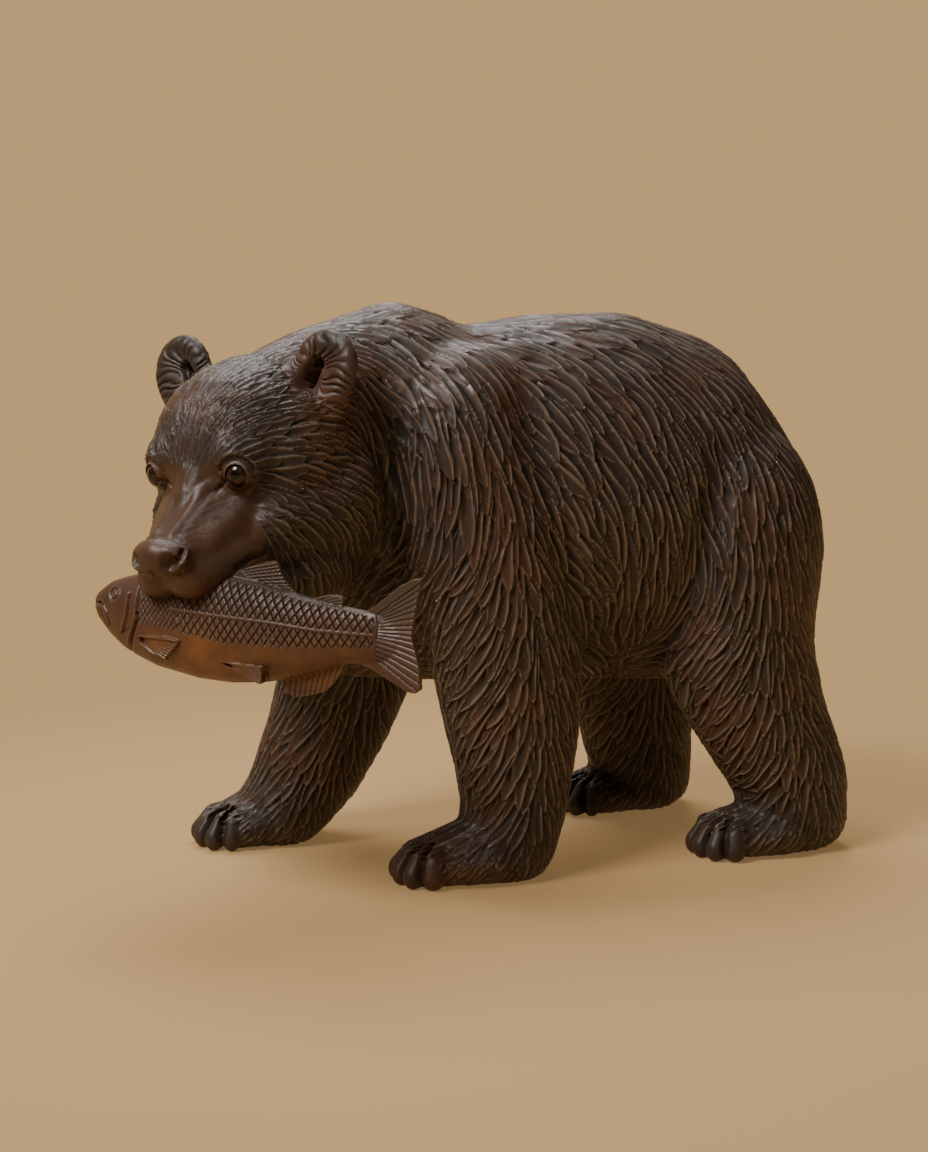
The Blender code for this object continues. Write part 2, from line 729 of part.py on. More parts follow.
def eye(name, side):
    mesh = bpy.data.meshes.new(name)
    form = bmesh.new()
    bmesh.ops.create_uvsphere(form, u_segments=14, v_segments=8, radius=EYE_RADIUS * U)
    turn = eye_gaze(side).to_track_quat("Z", "Y").to_matrix().to_4x4()
    bmesh.ops.transform(form, matrix=Matrix.Translation(eye_place(side) * U) @ turn, verts=form.verts)
    form.to_mesh(mesh)
    form.free()
    return new_object(name, mesh)


def finish_material(obj, name, colour, roughness, coat=0.0):
    material = bpy.data.materials.new(name)
    material.use_nodes = True
    shader = material.node_tree.nodes["Principled BSDF"]
    shader.inputs["Base Color"].default_value = colour
    shader.inputs["Roughness"].default_value = roughness
    shader.inputs["Coat Weight"].default_value = coat
    obj.data.materials.clear()
    obj.data.materials.append(material)


bear = bear_form()
carve_muscles(bear.data)
cut_locks(bear.data, 34.0, 11.5, LOCK_DEPTH, 7)
carve_face(bear.data)
carve_toes(bear.data)
salmon = salmon_form()
flat_soles(bear, 0.0)
decimated(bear, BEAR_FACES, face_and_toes, 14000)
level_soles(bear, 0.7)
decimated(salmon, SALMON_FACES)
eyes = [eye("eye_left", 1), eye("eye_right", -1)]
cut_away(bear, swollen(salmon, "salmon_seat", GAP))
for ball in eyes:
    cut_away(bear, swollen(ball, ball.name + "_seat", GAP))
keep_largest(bear)

# stand the figure on the origin: the middle of its box, on the floor
pieces = [bear, salmon] + eyes
corners = np.concatenate([coordinates(piece.data) for piece in pieces])
low = corners.min(axis=0)
high = corners.max(axis=0)
shift = np.array([-(low[0] + high[0]) / 2, -(low[1] + high[1]) / 2, -low[2]])
for piece in pieces:
    set_coordinates(piece.data, coordinates(piece.data) + shift)
    add_modifier(piece, "TRIANGULATE")
    bake(piece)

finish_material(bear, "bear_wood", (0.052, 0.030, 0.021, 1.0), 0.42)
finish_material(salmon, "salmon_wood", (0.110, 0.050, 0.028, 1.0), 0.40)
finish_material(eyes[0], "eye_gloss", (0.020, 0.010, 0.007, 1.0), 0.10, 0.5)
finish_material(eyes[1], "eye_gloss_right", (0.020, 0.010, 0.007, 1.0), 0.10, 0.5)
for ball in eyes:
    ball.data.polygons.foreach_set("use_smooth", [True] * len(ball.data.polygons))
bpy.context.view_layer.update()
print("shift in steps", [round(float(v), 2) for v in shift])
for piece in pieces:
    print(piece.name, len(piece.data.polygons), [round(v, 4) for v in piece.dimensions])
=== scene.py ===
# %% [markdown]
# # A carved wooden bear with a salmon
#
# The real object is one block of hardwood. A carver roughs out the big masses, rounds them, and
# then cuts the fur with a shallow gouge, thousands of strokes that all follow the lie of the coat.
# The stain pools in the cuts and the wax shines on the ridges between them.
#
# This lesson works in the same order: masses, rounding, muscles, face and paws, fur, and then
# the stain and the wax, with painted shade in the hollows and a painted highlight on the ridges.
# Lengths are in steps: the shoulder hump stands 300 steps high, and one step is `STEP` metres.

# %% Load the frame
import math

import bpy
import numpy as np
from mathutils import Matrix, Vector


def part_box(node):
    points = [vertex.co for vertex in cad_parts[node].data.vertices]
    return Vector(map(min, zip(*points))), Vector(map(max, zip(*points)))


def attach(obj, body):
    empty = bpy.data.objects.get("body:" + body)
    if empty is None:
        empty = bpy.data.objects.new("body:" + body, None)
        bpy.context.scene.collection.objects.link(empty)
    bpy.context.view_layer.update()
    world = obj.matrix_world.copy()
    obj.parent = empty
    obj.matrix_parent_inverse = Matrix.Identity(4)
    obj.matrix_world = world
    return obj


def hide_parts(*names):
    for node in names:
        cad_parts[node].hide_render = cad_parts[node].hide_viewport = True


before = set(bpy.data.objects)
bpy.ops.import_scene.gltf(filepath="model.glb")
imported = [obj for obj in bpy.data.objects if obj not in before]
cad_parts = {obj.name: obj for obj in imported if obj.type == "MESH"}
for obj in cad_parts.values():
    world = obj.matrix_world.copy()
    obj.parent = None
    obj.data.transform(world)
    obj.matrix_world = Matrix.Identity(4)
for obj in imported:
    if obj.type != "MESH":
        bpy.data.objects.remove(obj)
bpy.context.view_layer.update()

STEP = 0.001
SKIN = 0.90
UP = Vector((0.0, 0.0, 1.0))
AXES = (Vector((1.0, 0.0, 0.0)), Vector((0.0, 1.0, 0.0)), UP)

# %% [markdown]
# ## The head's own axes
#
# The head is turned to the bear's left and tips a little. Giving it three axes of its own,
# forward, left and up, lets every part of the face be placed as if the head looked straight on.

# %% Axes of the head and of the salmon
HEAD_AT = Vector((28.5, -127.0, 222.0))
HEAD_TURN = math.radians(36.0)
HEAD_ROLL = math.radians(3.5)
HEAD_F = Vector((math.sin(HEAD_TURN), -math.cos(HEAD_TURN), 0.0))
HEAD_LEVEL = Vector((math.cos(HEAD_TURN), math.sin(HEAD_TURN), 0.0))
HEAD_L = HEAD_LEVEL * math.cos(HEAD_ROLL) + UP * math.sin(HEAD_ROLL)
HEAD_U = UP * math.cos(HEAD_ROLL) - HEAD_LEVEL * math.sin(HEAD_ROLL)
HEAD_AXES = (HEAD_F, HEAD_L, HEAD_U)

BITE = Vector((60.0, -170.0, 150.5))
SALMON_TURN = math.radians(42.0)
SALMON_BACK = Vector((math.cos(SALMON_TURN), math.sin(SALMON_TURN), 0.0))
SALMON_SIDE = Vector((math.sin(SALMON_TURN), -math.cos(SALMON_TURN), 0.0))
SALMON_LENGTH = 190.0
BITE_SHARE = 0.292


def head_point(forward, left, up):
    """A place on the head, as a point of the figure."""
    return HEAD_AT + HEAD_F * forward + HEAD_L * left + HEAD_U * up


def salmon_point(share, across, rise):
    """A place on the salmon: share of its length, sideways, and up."""
    along = (share - BITE_SHARE) * SALMON_LENGTH
    return BITE + SALMON_BACK * along + SALMON_SIDE * across + UP * rise


def eye_place(side):
    return head_point(41.0, 25.6 * side, 0.0)


def eye_gaze(side):
    return (HEAD_F * 0.93 + HEAD_L * 0.36 * side).normalized()


low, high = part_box("eye_left")
SHIFT = (Vector(low) + Vector(high)) / 2 / STEP - eye_place(1)
print("the figure stands", [round(v, 2) for v in SHIFT], "steps from where it is drawn")

# %% [markdown]
# ## Masses
#
# Each big form is a hull stretched over two or more balls, the way a wire-and-clay sketch is
# built. The balls are Blender's own spheres. In edit mode the convex hull operator
# wraps them in one skin, and neighbouring hulls overlap so that the remesh can melt them together.

# %% Tools for masses
made = []


def deselect():
    if bpy.context.object is not None and bpy.context.object.mode != "OBJECT":
        bpy.ops.object.mode_set(mode="OBJECT")
    bpy.ops.object.select_all(action="DESELECT")


def take(*objects):
    """Select these objects alone, the first one active."""
    deselect()
    for obj in objects:
        obj.select_set(True)
    bpy.context.view_layer.objects.active = objects[0]


def turn_of(axes):
    return Matrix((axes[0], axes[1], axes[2])).transposed().to_euler()


def mass(balls, axes=AXES):
    """One convex mass over a few balls, each given as centre and half sizes."""
    deselect()
    for number, (centre, half) in enumerate(balls):
        bpy.ops.mesh.primitive_uv_sphere_add(
            segments=20, ring_count=12, radius=1.0, location=Vector(centre) * STEP,
            rotation=turn_of(axes), scale=Vector(half) * STEP)
        if number == 0:
            first = bpy.context.object
            bpy.ops.object.mode_set(mode="EDIT")
    bpy.ops.mesh.select_all(action="SELECT")
    bpy.ops.mesh.convex_hull()
    bpy.ops.object.mode_set(mode="OBJECT")
    made.append(first)
    return first


def chain(balls, axes=AXES):
    """A trunk or limb: neighbouring balls hulled two by two."""
    for pair in zip(balls, balls[1:]):
        mass(pair, axes)


def joined(name):
    """Everything made since the last join, as one object at the origin."""
    take(*made)
    bpy.ops.object.join()
    bpy.ops.object.transform_apply(location=True, rotation=True, scale=True)
    obj = bpy.context.object
    obj.name = name
    obj.data.name = name
    made.clear()
    return obj


def finish_with(obj, kind, **settings):
    """Add one modifier and apply it."""
    take(obj)
    modifier = obj.modifiers.new(kind.lower(), kind)
    for key, value in settings.items():
        setattr(modifier, key, value)
    bpy.ops.object.modifier_apply(modifier=modifier.name)


def melt(obj, grain, passes):
    """One closed skin over all that overlaps, then rounded."""
    finish_with(obj, "REMESH", mode="VOXEL", voxel_size=grain * STEP)
    if passes:
        finish_with(obj, "SMOOTH", factor=0.5, iterations=passes)


# %% [markdown]
# ## Body and legs
#
# The walking pose is in the legs: both right legs are forward, the left hind leg pushes back and
# the left fore leg carries the weight. The trunk narrows to a dip behind the shoulder hump.

# %% Body and legs
TRUNK = [
    ((0, -66, 216), (55, 36, 79)),
    ((0, -42, 223), (60, 48, 82)),
    ((0, -4, 197), (76, 46, 94)),
    ((0, 42, 196), (80, 52, 101)),
    ((0, 84, 195), (81, 56, 103)),
    ((0, 125, 187), (79, 59, 98)),
    ((0, 156, 164), (68, 53, 77)),
]
BREAST = [((0, -60, 160), (44, 35, 58)), ((0, -10, 150), (58, 50, 52))]
NECK = [((0, -58, 228), (56, 40, 72)), ((10, -88, 226), (53, 42, 66)), ((24, -112, 222), (52, 40, 61))]
THROAT = [((4, -76, 176), (40, 34, 50)), ((24, -106, 184), (38, 34, 42))]
LEGS = {
    "left fore": [
        ((38, -14, 214), (40, 50, 70)), ((48, 0, 168), (36, 47, 44)), ((52, 5, 118), (32, 42, 34)),
        ((54, 9, 74), (28, 36, 26)), ((55, 9, 38), (27, 29, 20)), ((56, 2, 13), (28, 28, 18))],
    "right fore": [
        ((-38, -44, 208), (40, 48, 70)), ((-48, -46, 160), (36, 46, 46)), ((-50, -48, 108), (32, 40, 34)),
        ((-52, -62, 66), (29, 36, 26)), ((-54, -76, 34), (28, 32, 20)), ((-56, -92, 13), (28, 28, 18))],
    "left hind": [
        ((42, 141, 168), (44, 54, 74)), ((50, 141, 116), (36, 45, 42)), ((56, 153, 78), (30, 39, 30)),
        ((58, 172, 42), (27, 34, 26)), ((58, 176, 14), (26, 31, 18))],
    "right hind": [
        ((-42, 126, 166), (44, 54, 74)), ((-50, 118, 114), (36, 44, 42)), ((-55, 126, 76), (30, 39, 30)),
        ((-56, 131, 40), (27, 33, 26)), ((-56, 134, 14), (26, 30, 18))],
}
for form in (TRUNK, BREAST, NECK, THROAT):
    chain(form)
for form in LEGS.values():
    chain(form)
bear = joined("bear_carved")
melt(bear, 2.3, 26)
print("body roughed out in", len(bear.data.polygons), "faces")

# %% [markdown]
# ## Head, ears and paws
#
# These are smaller forms and keep more of their edges, so they join the rounded body and get
# fewer smoothing passes. The ears are flat cups that face forward.

# %% Head, ears and paws
HEAD_MASSES = [
    [((-8, 0, 3), (54, 57, 55)), ((14, 0, 8), (36, 44, 44))],
    [((-18, 33, -18), (34, 30, 38)), ((12, 27, -26), (28, 22, 26))],
    [((-18, -33, -18), (34, 30, 38)), ((12, -27, -26), (28, 22, 26))],
    [((-6, 24, -48), (34, 27, 26)), ((18, 16, -50), (22, 16, 18))],
    [((-6, -24, -48), (34, 27, 26)), ((18, -16, -50), (22, 16, 18))],
    [((30, 21, 6), (19, 18, 18)), ((30, -21, 6), (19, 18, 18))],
    [((30, 0, -18), (19, 34, 24)), ((60, 0, -38), (17, 20, 15))],
    [((52, 0, -34), (14, 19, 13)), ((75, 0, -38), (10, 17, 10))],
    [((34, 16, -40), (20, 18, 16)), ((63, 9, -49), (14, 13, 11))],
    [((34, -16, -40), (20, 18, 16)), ((63, -9, -49), (14, 13, 11))],
    [((20, 0, -60), (26, 24, 20)), ((32, 0, -76), (14, 16, 12))],
    [((36, 0, 12), (12, 15, 12)), ((50, 0, -16), (8, 10, 7))],
]
# middle of the sole, half length, half width, height of the instep, yaw
PAWS = [
    ((56, -26), 38, 27, 33, -0.20),
    ((-56, -106), 39, 27, 33, 0.10),
    ((60, 146), 38, 26, 30, -0.12),
    ((-55, 112), 36, 26, 30, 0.05),
]
EARS = {}


def paw_axes(yaw):
    forward = Vector((math.sin(yaw), -math.cos(yaw), 0.0))
    side = Vector((math.cos(yaw), math.sin(yaw), 0.0))
    return forward, side


def paw(middle, length, width, instep, yaw):
    forward, side = paw_axes(yaw)
    middle = Vector((middle[0], middle[1], 0.0))
    mass([
        (middle - forward * (length * 0.45) + UP * 12, (length * 0.5, width * 0.95, 14)),
        (middle - forward * (length * 0.36) + UP * (instep - 9), (length * 0.42, width * 0.62, 10)),
        (middle + forward * (length * 0.26) + UP * 10, (length * 0.44, width * 0.90, 12)),
        (middle + forward * (length * 0.30) + UP * 15, (length * 0.32, width * 0.70, 9)),
    ], (forward, side, UP))


def ear(side):
    middle = head_point(-6, 47 * side, 49)
    facing = (HEAD_F * 0.97 + HEAD_L * 0.05 * side + HEAD_U * 0.14).normalized()
    rise = HEAD_U * 0.93 + HEAD_L * 0.30 * side
    rise = (rise - facing * rise.dot(facing)).normalized()
    across = rise.cross(facing).normalized()
    mass([(middle, (7.5, 20, 21)), (middle - rise * 18 - facing * 3, (9, 17, 14))], (facing, across, rise))
    outward = across if across.dot(HEAD_L) * side > 0 else -across
    EARS[side] = (middle, outward, rise, facing)


for balls in HEAD_MASSES:
    mass([(head_point(*centre), half) for centre, half in balls], HEAD_AXES)
for measures in PAWS:
    paw(*measures)
for side in (1, -1):
    ear(side)
made.insert(0, bear)
bear = joined("bear_carved")
melt(bear, 1.5, 14)
print("head, ears and paws melted on")

# %% [markdown]
# ## Toes
#
# Each toe is a finger bent over at its knuckle, and five of them fan out from the instep, the
# outer one the thickest. They are added last, after the heavy smoothing, so that the clefts
# between them stay sharp.

# %% Toes
TOE_ANGLES = (-50, -26, -2, 22, 48)
TOE_SIZES = (5.8, 6.2, 6.5, 6.6, 7.6)


def toe_ways(middle, yaw, angles):
    """Where the toes of one paw start, and the ways they run, the outer one last."""
    forward, side = paw_axes(yaw)
    outer = 1 if middle[0] > 0 else -1
    start = Vector((middle[0], middle[1], 0.0)) + forward * 6
    turns = [math.radians(angle + (19 if outer > 0 else 0)) for angle in angles]
    return start, [forward * math.cos(turn) * 0.98 + side * outer * math.sin(turn) for turn in turns]


for middle, length, width, instep, yaw in PAWS:
    start, ways = toe_ways(middle, yaw, TOE_ANGLES)
    for way, angle, size in zip(ways, TOE_ANGLES, TOE_SIZES):
        reach = length * (0.64 if abs(angle) < 40 else 0.56)
        chain([(start + way * (length * 0.22) + UP * 16, (size, size, 8.0)),
               (start + way * (length * 0.48) + UP * 12.5, (size, size, 7.5)),
               (start + way * reach + UP * 6.5, (size * 0.88, size * 0.88, 6.8))])
made.insert(0, bear)
bear = joined("bear_carved")
melt(bear, SKIN, 6)
print("figure in", len(bear.data.polygons), "faces")

# %% [markdown]
# ## Sculpting by numbers
#
# Sculpt brushes push skin near a point. The same is done here on arrays: `press` moves what is
# near a centre, `groove` what is near a line in space, and `draw` cuts a line that is laid out
# flat and pushed onto the wood from one side, as a carver pencils a line and follows it.

# %% Brushes


def places_of(obj):
    flat = np.zeros(len(obj.data.vertices) * 3)
    obj.data.vertices.foreach_get("co", flat)
    return flat.reshape(-1, 3) / STEP


def normals_of(obj):
    flat = np.zeros(len(obj.data.vertices) * 3)
    obj.data.vertices.foreach_get("normal", flat)
    return flat.reshape(-1, 3)


def put_places(obj, places):
    obj.data.vertices.foreach_set("co", (places * STEP).ravel())
    obj.data.update()


def soft(values):
    values = np.clip(values, 0.0, 1.0)
    return values * values * (3.0 - 2.0 * values)


def press(places, centre, radius, move, power=1.0):
    distance = np.linalg.norm(places - np.array(centre), axis=1)
    places += (soft(1.0 - distance / radius) ** power)[:, None] * np.array(move)


def line_distance(points, path):
    nearest = np.full(len(points), 1e9)
    for first, second in zip(path, path[1:]):
        a = np.array(first, float)
        along = np.array(second, float) - a
        t = np.clip(((points - a) @ along) / (along @ along), 0.0, 1.0)
        nearest = np.minimum(nearest, np.linalg.norm(points - a - t[:, None] * along, axis=1))
    return nearest


def groove(places, path, width, move):
    places += soft(1.0 - line_distance(places, path) / width)[:, None] * np.array(move)


def on_plane(places, plane):
    """Across, up and out from a plane given as origin and three directions."""
    away = places - np.array(plane[0])
    return away @ np.array(plane[1]), away @ np.array(plane[2]), away @ np.array(plane[3])


def draw(places, plane, path, width, depth, reach=9.0):
    """A cut with a V tool along a path drawn on a plane; a negative depth raises a ridge."""
    x, y, out = on_plane(places, plane)
    corners = np.array(path, float)
    low = corners.min(axis=0) - width
    high = corners.max(axis=0) + width
    near = np.where((x > low[0]) & (x < high[0]) & (y > low[1]) & (y < high[1]) & (np.abs(out) < reach))[0]
    if len(near):
        distance = line_distance(np.stack([x[near], y[near]], axis=1), path)
        amount = np.clip(1.0 - distance / width, 0.0, 1.0) ** 1.3 * depth
        places[near] -= amount[:, None] * np.array(plane[3])


def finer(obj, wanted):
    """Split the faces whose middles are wanted into smaller ones."""
    take(obj)
    middles = np.zeros(len(obj.data.polygons) * 3)
    obj.data.polygons.foreach_get("center", middles)
    bpy.context.tool_settings.mesh_select_mode = (False, False, True)
    obj.data.vertices.foreach_set("select", np.zeros(len(obj.data.vertices), bool))
    obj.data.edges.foreach_set("select", np.zeros(len(obj.data.edges), bool))
    obj.data.polygons.foreach_set("select", wanted(middles.reshape(-1, 3) / STEP))
    bpy.ops.object.mode_set(mode="EDIT")
    bpy.ops.mesh.subdivide(number_cuts=1)
    bpy.ops.object.mode_set(mode="OBJECT")


def head_frame(places):
    return on_plane(places, (HEAD_AT,) + HEAD_AXES)


# %% [markdown]
# ## Hollows between the muscles
#
# Behind the shoulder, in front of the haunch and down the neck, the wood dips where two muscles
# meet. A carver scoops these with a wide gouge before any fur is cut. Each one is a path along
# which the skin is pressed in, because a path follows a muscle better than a single dent does.

# %% Hollows between the muscles
HOLLOWS = [
    ([(72, 6, 250), (80, 19, 215), (82, 28, 180), (80, 36, 140), (72, 40, 112)], 17.0, (-3.6, 1.0, 0)),
    ([(-72, -34, 250), (-80, -20, 215), (-82, -10, 180), (-80, -3, 140), (-72, 2, 112)], 17.0, (3.6, 1.0, 0)),
    ([(76, 122, 225), (82, 110, 190), (82, 102, 155), (74, 98, 118)], 17.0, (-3.6, -1.0, 0)),
    ([(-76, 100, 225), (-82, 88, 190), (-82, 80, 155), (-74, 76, 118)], 17.0, (3.6, -1.0, 0)),
    ([(54, -62, 268), (62, -66, 232), (58, -60, 186)], 14.0, (-3.5, 1.5, 0)),
    ([(-40, -88, 268), (-52, -90, 232), (-50, -84, 186)], 14.0, (3.5, 1.5, 0)),
    ([(0, 30, 297), (0, 60, 299), (0, 100, 295)], 9.0, (0, 0, -0.8)),
]
places = places_of(bear)
for path, width, move in HOLLOWS:
    groove(places, path, width, move)
press(places, (20, 190, 235), 44, (0, 1.0, 1.6))
put_places(bear, places)
print("hollows pressed:", len(HOLLOWS))

# %% [markdown]
# ## The face
#
# The planes come first: a flat-topped bridge, hollow sides below the eyes, a full brow. Then the
# lines: lids as rings round the balls with a fold above, the nose with its comma nostrils, the
# split of the lip, and the cupped ears with a deep hole and gouge cuts fanning to the rim.

# %% Planes of the face


def face_part(points):
    f, l, u = head_frame(points)
    return (f > 20.0) & (np.abs(l) < 40.0) & (u > -64.0) & (u < 38.0) & (points[:, 1] < -110.0)


def ear_part(points):
    f, l, u = head_frame(points)
    beside = np.abs(np.abs(l) - 48.0) < 26.0
    return (np.abs(f + 3.0) < 16.0) & beside & (u > 24.0) & (points[:, 1] < -70.0)


finer(bear, face_part)
f = np.array(HEAD_F)
l = np.array(HEAD_L)
u = np.array(HEAD_U)
places = places_of(bear)
for side in (1, -1):
    press(places, head_point(52, 17 * side, -3), 12, -f * 1.8 - l * side * 0.5)
    bridge = [head_point(45, 13.5 * side, -3), head_point(50, 9.5 * side, -7),
              head_point(57, 7.0 * side, -14), head_point(65, 5.5 * side, -21),
              head_point(71, 5.0 * side, -27)]
    groove(places, bridge, 4.5, f * 0.9 + l * side * 0.6 + u * 0.8)
    hollow = [head_point(46, 23 * side, -12), head_point(54, 17 * side, -20),
              head_point(62, 15 * side, -28)]
    groove(places, hollow, 9.0, -l * side * 2.2 - f * 0.6)
    press(places, head_point(46, 23 * side, 14), 11, f * 1.8 + u * 0.6)
    press(places, head_point(38, 33 * side, -16), 12, -f * 1.2 - l * side * 1.0)
groove(places, [head_point(52, 0, 8), head_point(48, 0, 20), head_point(42, 0, 32)], 6.0, -f * 0.9)
groove(places, [head_point(56, 0, -8), head_point(66, 0, -20)], 6.0, f * 0.6 + u * 0.6)
put_places(bear, places)

# %% [markdown]
# ## Lids
#
# An eyelid is a rim of wood that wraps the ball. A plane that faces the way the eye looks is laid
# on each eye, and the ring, the folds and the corner lines are drawn on it. Skin near the ring is
# moved onto a sphere a little larger than the ball, so that the lid fits it closely.

# %% Lids round the eyes
EYE_RADIUS = 7.2
EYE_PLANES = {}
for side in (1, -1):
    gaze = eye_gaze(side)
    outward = HEAD_L * side
    outward = (outward - gaze * outward.dot(gaze)).normalized()
    lidward = (HEAD_U - gaze * HEAD_U.dot(gaze) - outward * HEAD_U.dot(outward)).normalized()
    EYE_PLANES[side] = (eye_place(side), outward, lidward, gaze)


def arc(radius, start, end, count=10, middle=(0.0, 0.0)):
    """Points on a circle, with the angles in degrees from the outer corner up."""
    angles = np.radians(np.linspace(start, end, count))
    return [(middle[0] + radius * math.cos(a), middle[1] + radius * math.sin(a)) for a in angles]


def carve_lids(places, plane):
    x, y, ahead = on_plane(places, plane)
    off = np.hypot(x, y)
    over = (ahead > -2.0) & (ahead < 14.0)
    lid = 8.0 + 0.5 * soft((y + 1.0) / 4.0)
    skin_at = np.sqrt(np.clip(lid ** 2 - off ** 2, 0.0, None))
    ring = soft(1.0 - np.abs(off - 6.3) / 2.6) * over
    places += (ring * np.clip(skin_at - ahead, -4.0, 1.8))[:, None] * np.array(plane[3])
    ahead = on_plane(places, plane)[2]
    hole = (off < 5.4) & (ahead > 1.0) & (ahead < 14.0)
    places[hole] -= (ahead[hole] - 1.0)[:, None] * np.array(plane[3])
    draw(places, plane, arc(9.0, 12, 165), 1.5, 1.5)
    draw(places, plane, arc(11.3, 20, 150), 2.0, -0.8)
    draw(places, plane, arc(8.8, -165, -20), 1.5, 0.9)
    draw(places, plane, arc(11.2, -150, -40), 2.0, 0.6)
    draw(places, plane, [(-5.2, -2.0), (-8.0, -4.0), (-12.0, -7.5)], 1.8, 1.6, 14.0)
    draw(places, plane, [(6.0, -1.6), (10.0, -2.0), (16.0, -2.2)], 1.3, 0.9, 14.0)


places = places_of(bear)
for side in (1, -1):
    carve_lids(places, EYE_PLANES[side])
put_places(bear, places)

# %% [markdown]
# ## The nose and the lips
#
# The nose pad stands up from the bridge, with a nostril like a comma on each side, and the lip
# splits below it. These are short paths in the head's own axes, pressed in or drawn out. A loop
# over the two sides keeps them alike.

# %% The nose and the lips
places = places_of(bear)
pad = [head_point(71, 14, -33), head_point(73.5, 8, -29), head_point(74.5, 0, -28),
       head_point(73.5, -8, -29), head_point(71, -14, -33)]
groove(places, pad, 3.2, -u * 0.9 - f * 0.4)
press(places, head_point(80, 0, -33), 9, f * 1.0 + u * 0.6)
for side in (1, -1):
    wing = [head_point(73, 15.5 * side, -34), head_point(75, 16.0 * side, -40),
            head_point(79, 11 * side, -43.5)]
    groove(places, wing, 3.2, f * 0.8 + l * side * 1.4)
    press(places, head_point(80.5, 10.5 * side, -39.5), 5.6, -f * 6.5 - l * side * 1.0, 0.8)
    comma = [head_point(80, 11.0 * side, -39.5), head_point(77.5, 14.4 * side, -38),
             head_point(75, 15.6 * side, -35)]
    groove(places, comma, 2.8, -f * 2.4 - l * side * 2.4)
    under = [head_point(77, 14 * side, -45), head_point(81, 7 * side, -46.5),
             head_point(82, 1 * side, -47.5)]
    groove(places, under, 2.4, -f * 1.6)
    lip = [head_point(78, 4 * side, -54), head_point(70, 13 * side, -54), head_point(58, 19 * side, -51),
           head_point(46, 25 * side, -47)]
    groove(places, lip, 4.5, f * 0.5 + l * side * 1.2)
    corner = [head_point(50, 28 * side, -45), head_point(42, 32 * side, -41),
              head_point(36, 35 * side, -40)]
    groove(places, corner, 3.0, -l * side * 2.2 - f * 0.6)
groove(places, [head_point(82, 0, -44), head_point(80, 0, -52), head_point(74, 0, -62)], 2.6, -f * 2.6)
put_places(bear, places)
print("face carved")

# %% [markdown]
# ## The ears
#
# An ear is a thick cup. A carver hollows it, drills the hole and fans cuts from there towards the
# rim. The fan is worked out from the angle round the hole, with a wandering wave added, so that
# no two cuts are quite alike.

# %% The ears
finer(bear, ear_part)
places = places_of(bear)
normals = normals_of(bear)
for side in (1, -1):
    plane = EARS[side]
    middle, outward, rise, facing = plane
    press(places, middle + facing * 7 + rise * 1, 17, -facing * 5.0)
    press(places, middle + facing * 5 - rise * 8 - HEAD_L * side * 7, 12, -facing * 5.0)
    x, y, out = on_plane(places, plane)
    front = (np.abs(out) < 12.0) & (normals @ np.array(facing) > 0.1)
    angle = np.arctan2(y + 6.0, x + 6.0)
    reach = np.hypot(x + 6.0, y + 6.0)
    wander = 1.8 * np.sin(3.0 * angle + 0.24 * reach) + 0.8 * np.sin(7.0 * angle)
    rays = np.abs(np.sin(12.5 * angle + wander + 0.05 * reach))
    fade = soft((reach - 6.0) / 5.0) * soft((20.5 - np.hypot(x, y)) / 4.0) * soft((y + 17.0) / 5.0)
    cuts = (1.0 - rays) ** 1.6 * (1.25 + 0.45 * np.sin(5.0 * angle + 1.0)) * fade * front
    places -= cuts[:, None] * np.array(facing)
    draw(places, plane, [(-6.5, -11.0), (-6.0, -5.0), (-4.5, 1.0)], 5.2, 8.5, 12.0)
put_places(bear, places)
print("ears carved")

# %% [markdown]
# ## Clefts and soles
#
# A V cut between every two toes makes them read as fingers, and a flat plane cut under the paws
# lets the figure stand.

# %% Clefts between the toes


def toe_part(points):
    toes = np.zeros(len(points), bool)
    for (x, y), length, width, instep, yaw in PAWS:
        forward, side = paw_axes(yaw)
        ahead = (points[:, 0] - x) * forward.x + (points[:, 1] - y) * forward.y
        aside = (points[:, 0] - x) * side.x + (points[:, 1] - y) * side.y
        near = (ahead > length * 0.30) & (ahead < length * 1.4) & (np.abs(aside) < width * 1.3)
        toes |= near & (points[:, 2] < 26) & (points[:, 2] > 0.5)
    return toes


finer(bear, toe_part)
places = places_of(bear)
between = [(a + b) / 2 for a, b in zip(TOE_ANGLES, TOE_ANGLES[1:])]
for middle, length, width, instep, yaw in PAWS:
    start, ways = toe_ways(middle, yaw, between)
    for way in ways:
        over = [start + way * (length * 0.34) + UP * 22, start + way * (length * 0.54) + UP * 18,
                start + way * (length * 0.68) + UP * 10, start + way * (length * 0.70) + UP * 1]
        groove(places, over, 3.6, -np.array(way) * 3.0 - np.array(UP) * 1.8)
put_places(bear, places)

# %% Stand it on flat soles


def flat_sole(obj, height):
    take(obj)
    bpy.ops.object.mode_set(mode="EDIT")
    bpy.ops.mesh.select_all(action="SELECT")
    bpy.ops.mesh.bisect(plane_co=(0, 0, height * STEP), plane_no=(0, 0, 1), clear_inner=True, use_fill=True,
                        threshold=0.000001)
    bpy.ops.object.mode_set(mode="OBJECT")


flat_sole(bear, 0.0)
print("soles cut flat, lowest point", round(float(places_of(bear)[:, 2].min()), 3))
print("before the fur:", len(bear.data.vertices), "points")

# %% [markdown]
# ## The lie of the fur
#
# A carver draws the flow of the coat on the wood first. Here each guide is a place, the way the
# strokes run there, and the length, width and depth of a stroke. Between guides they blend.
# The legs have a parting down the middle, with strokes leaving it to the front and to the back,
# so their guides come from a loop over the joints.

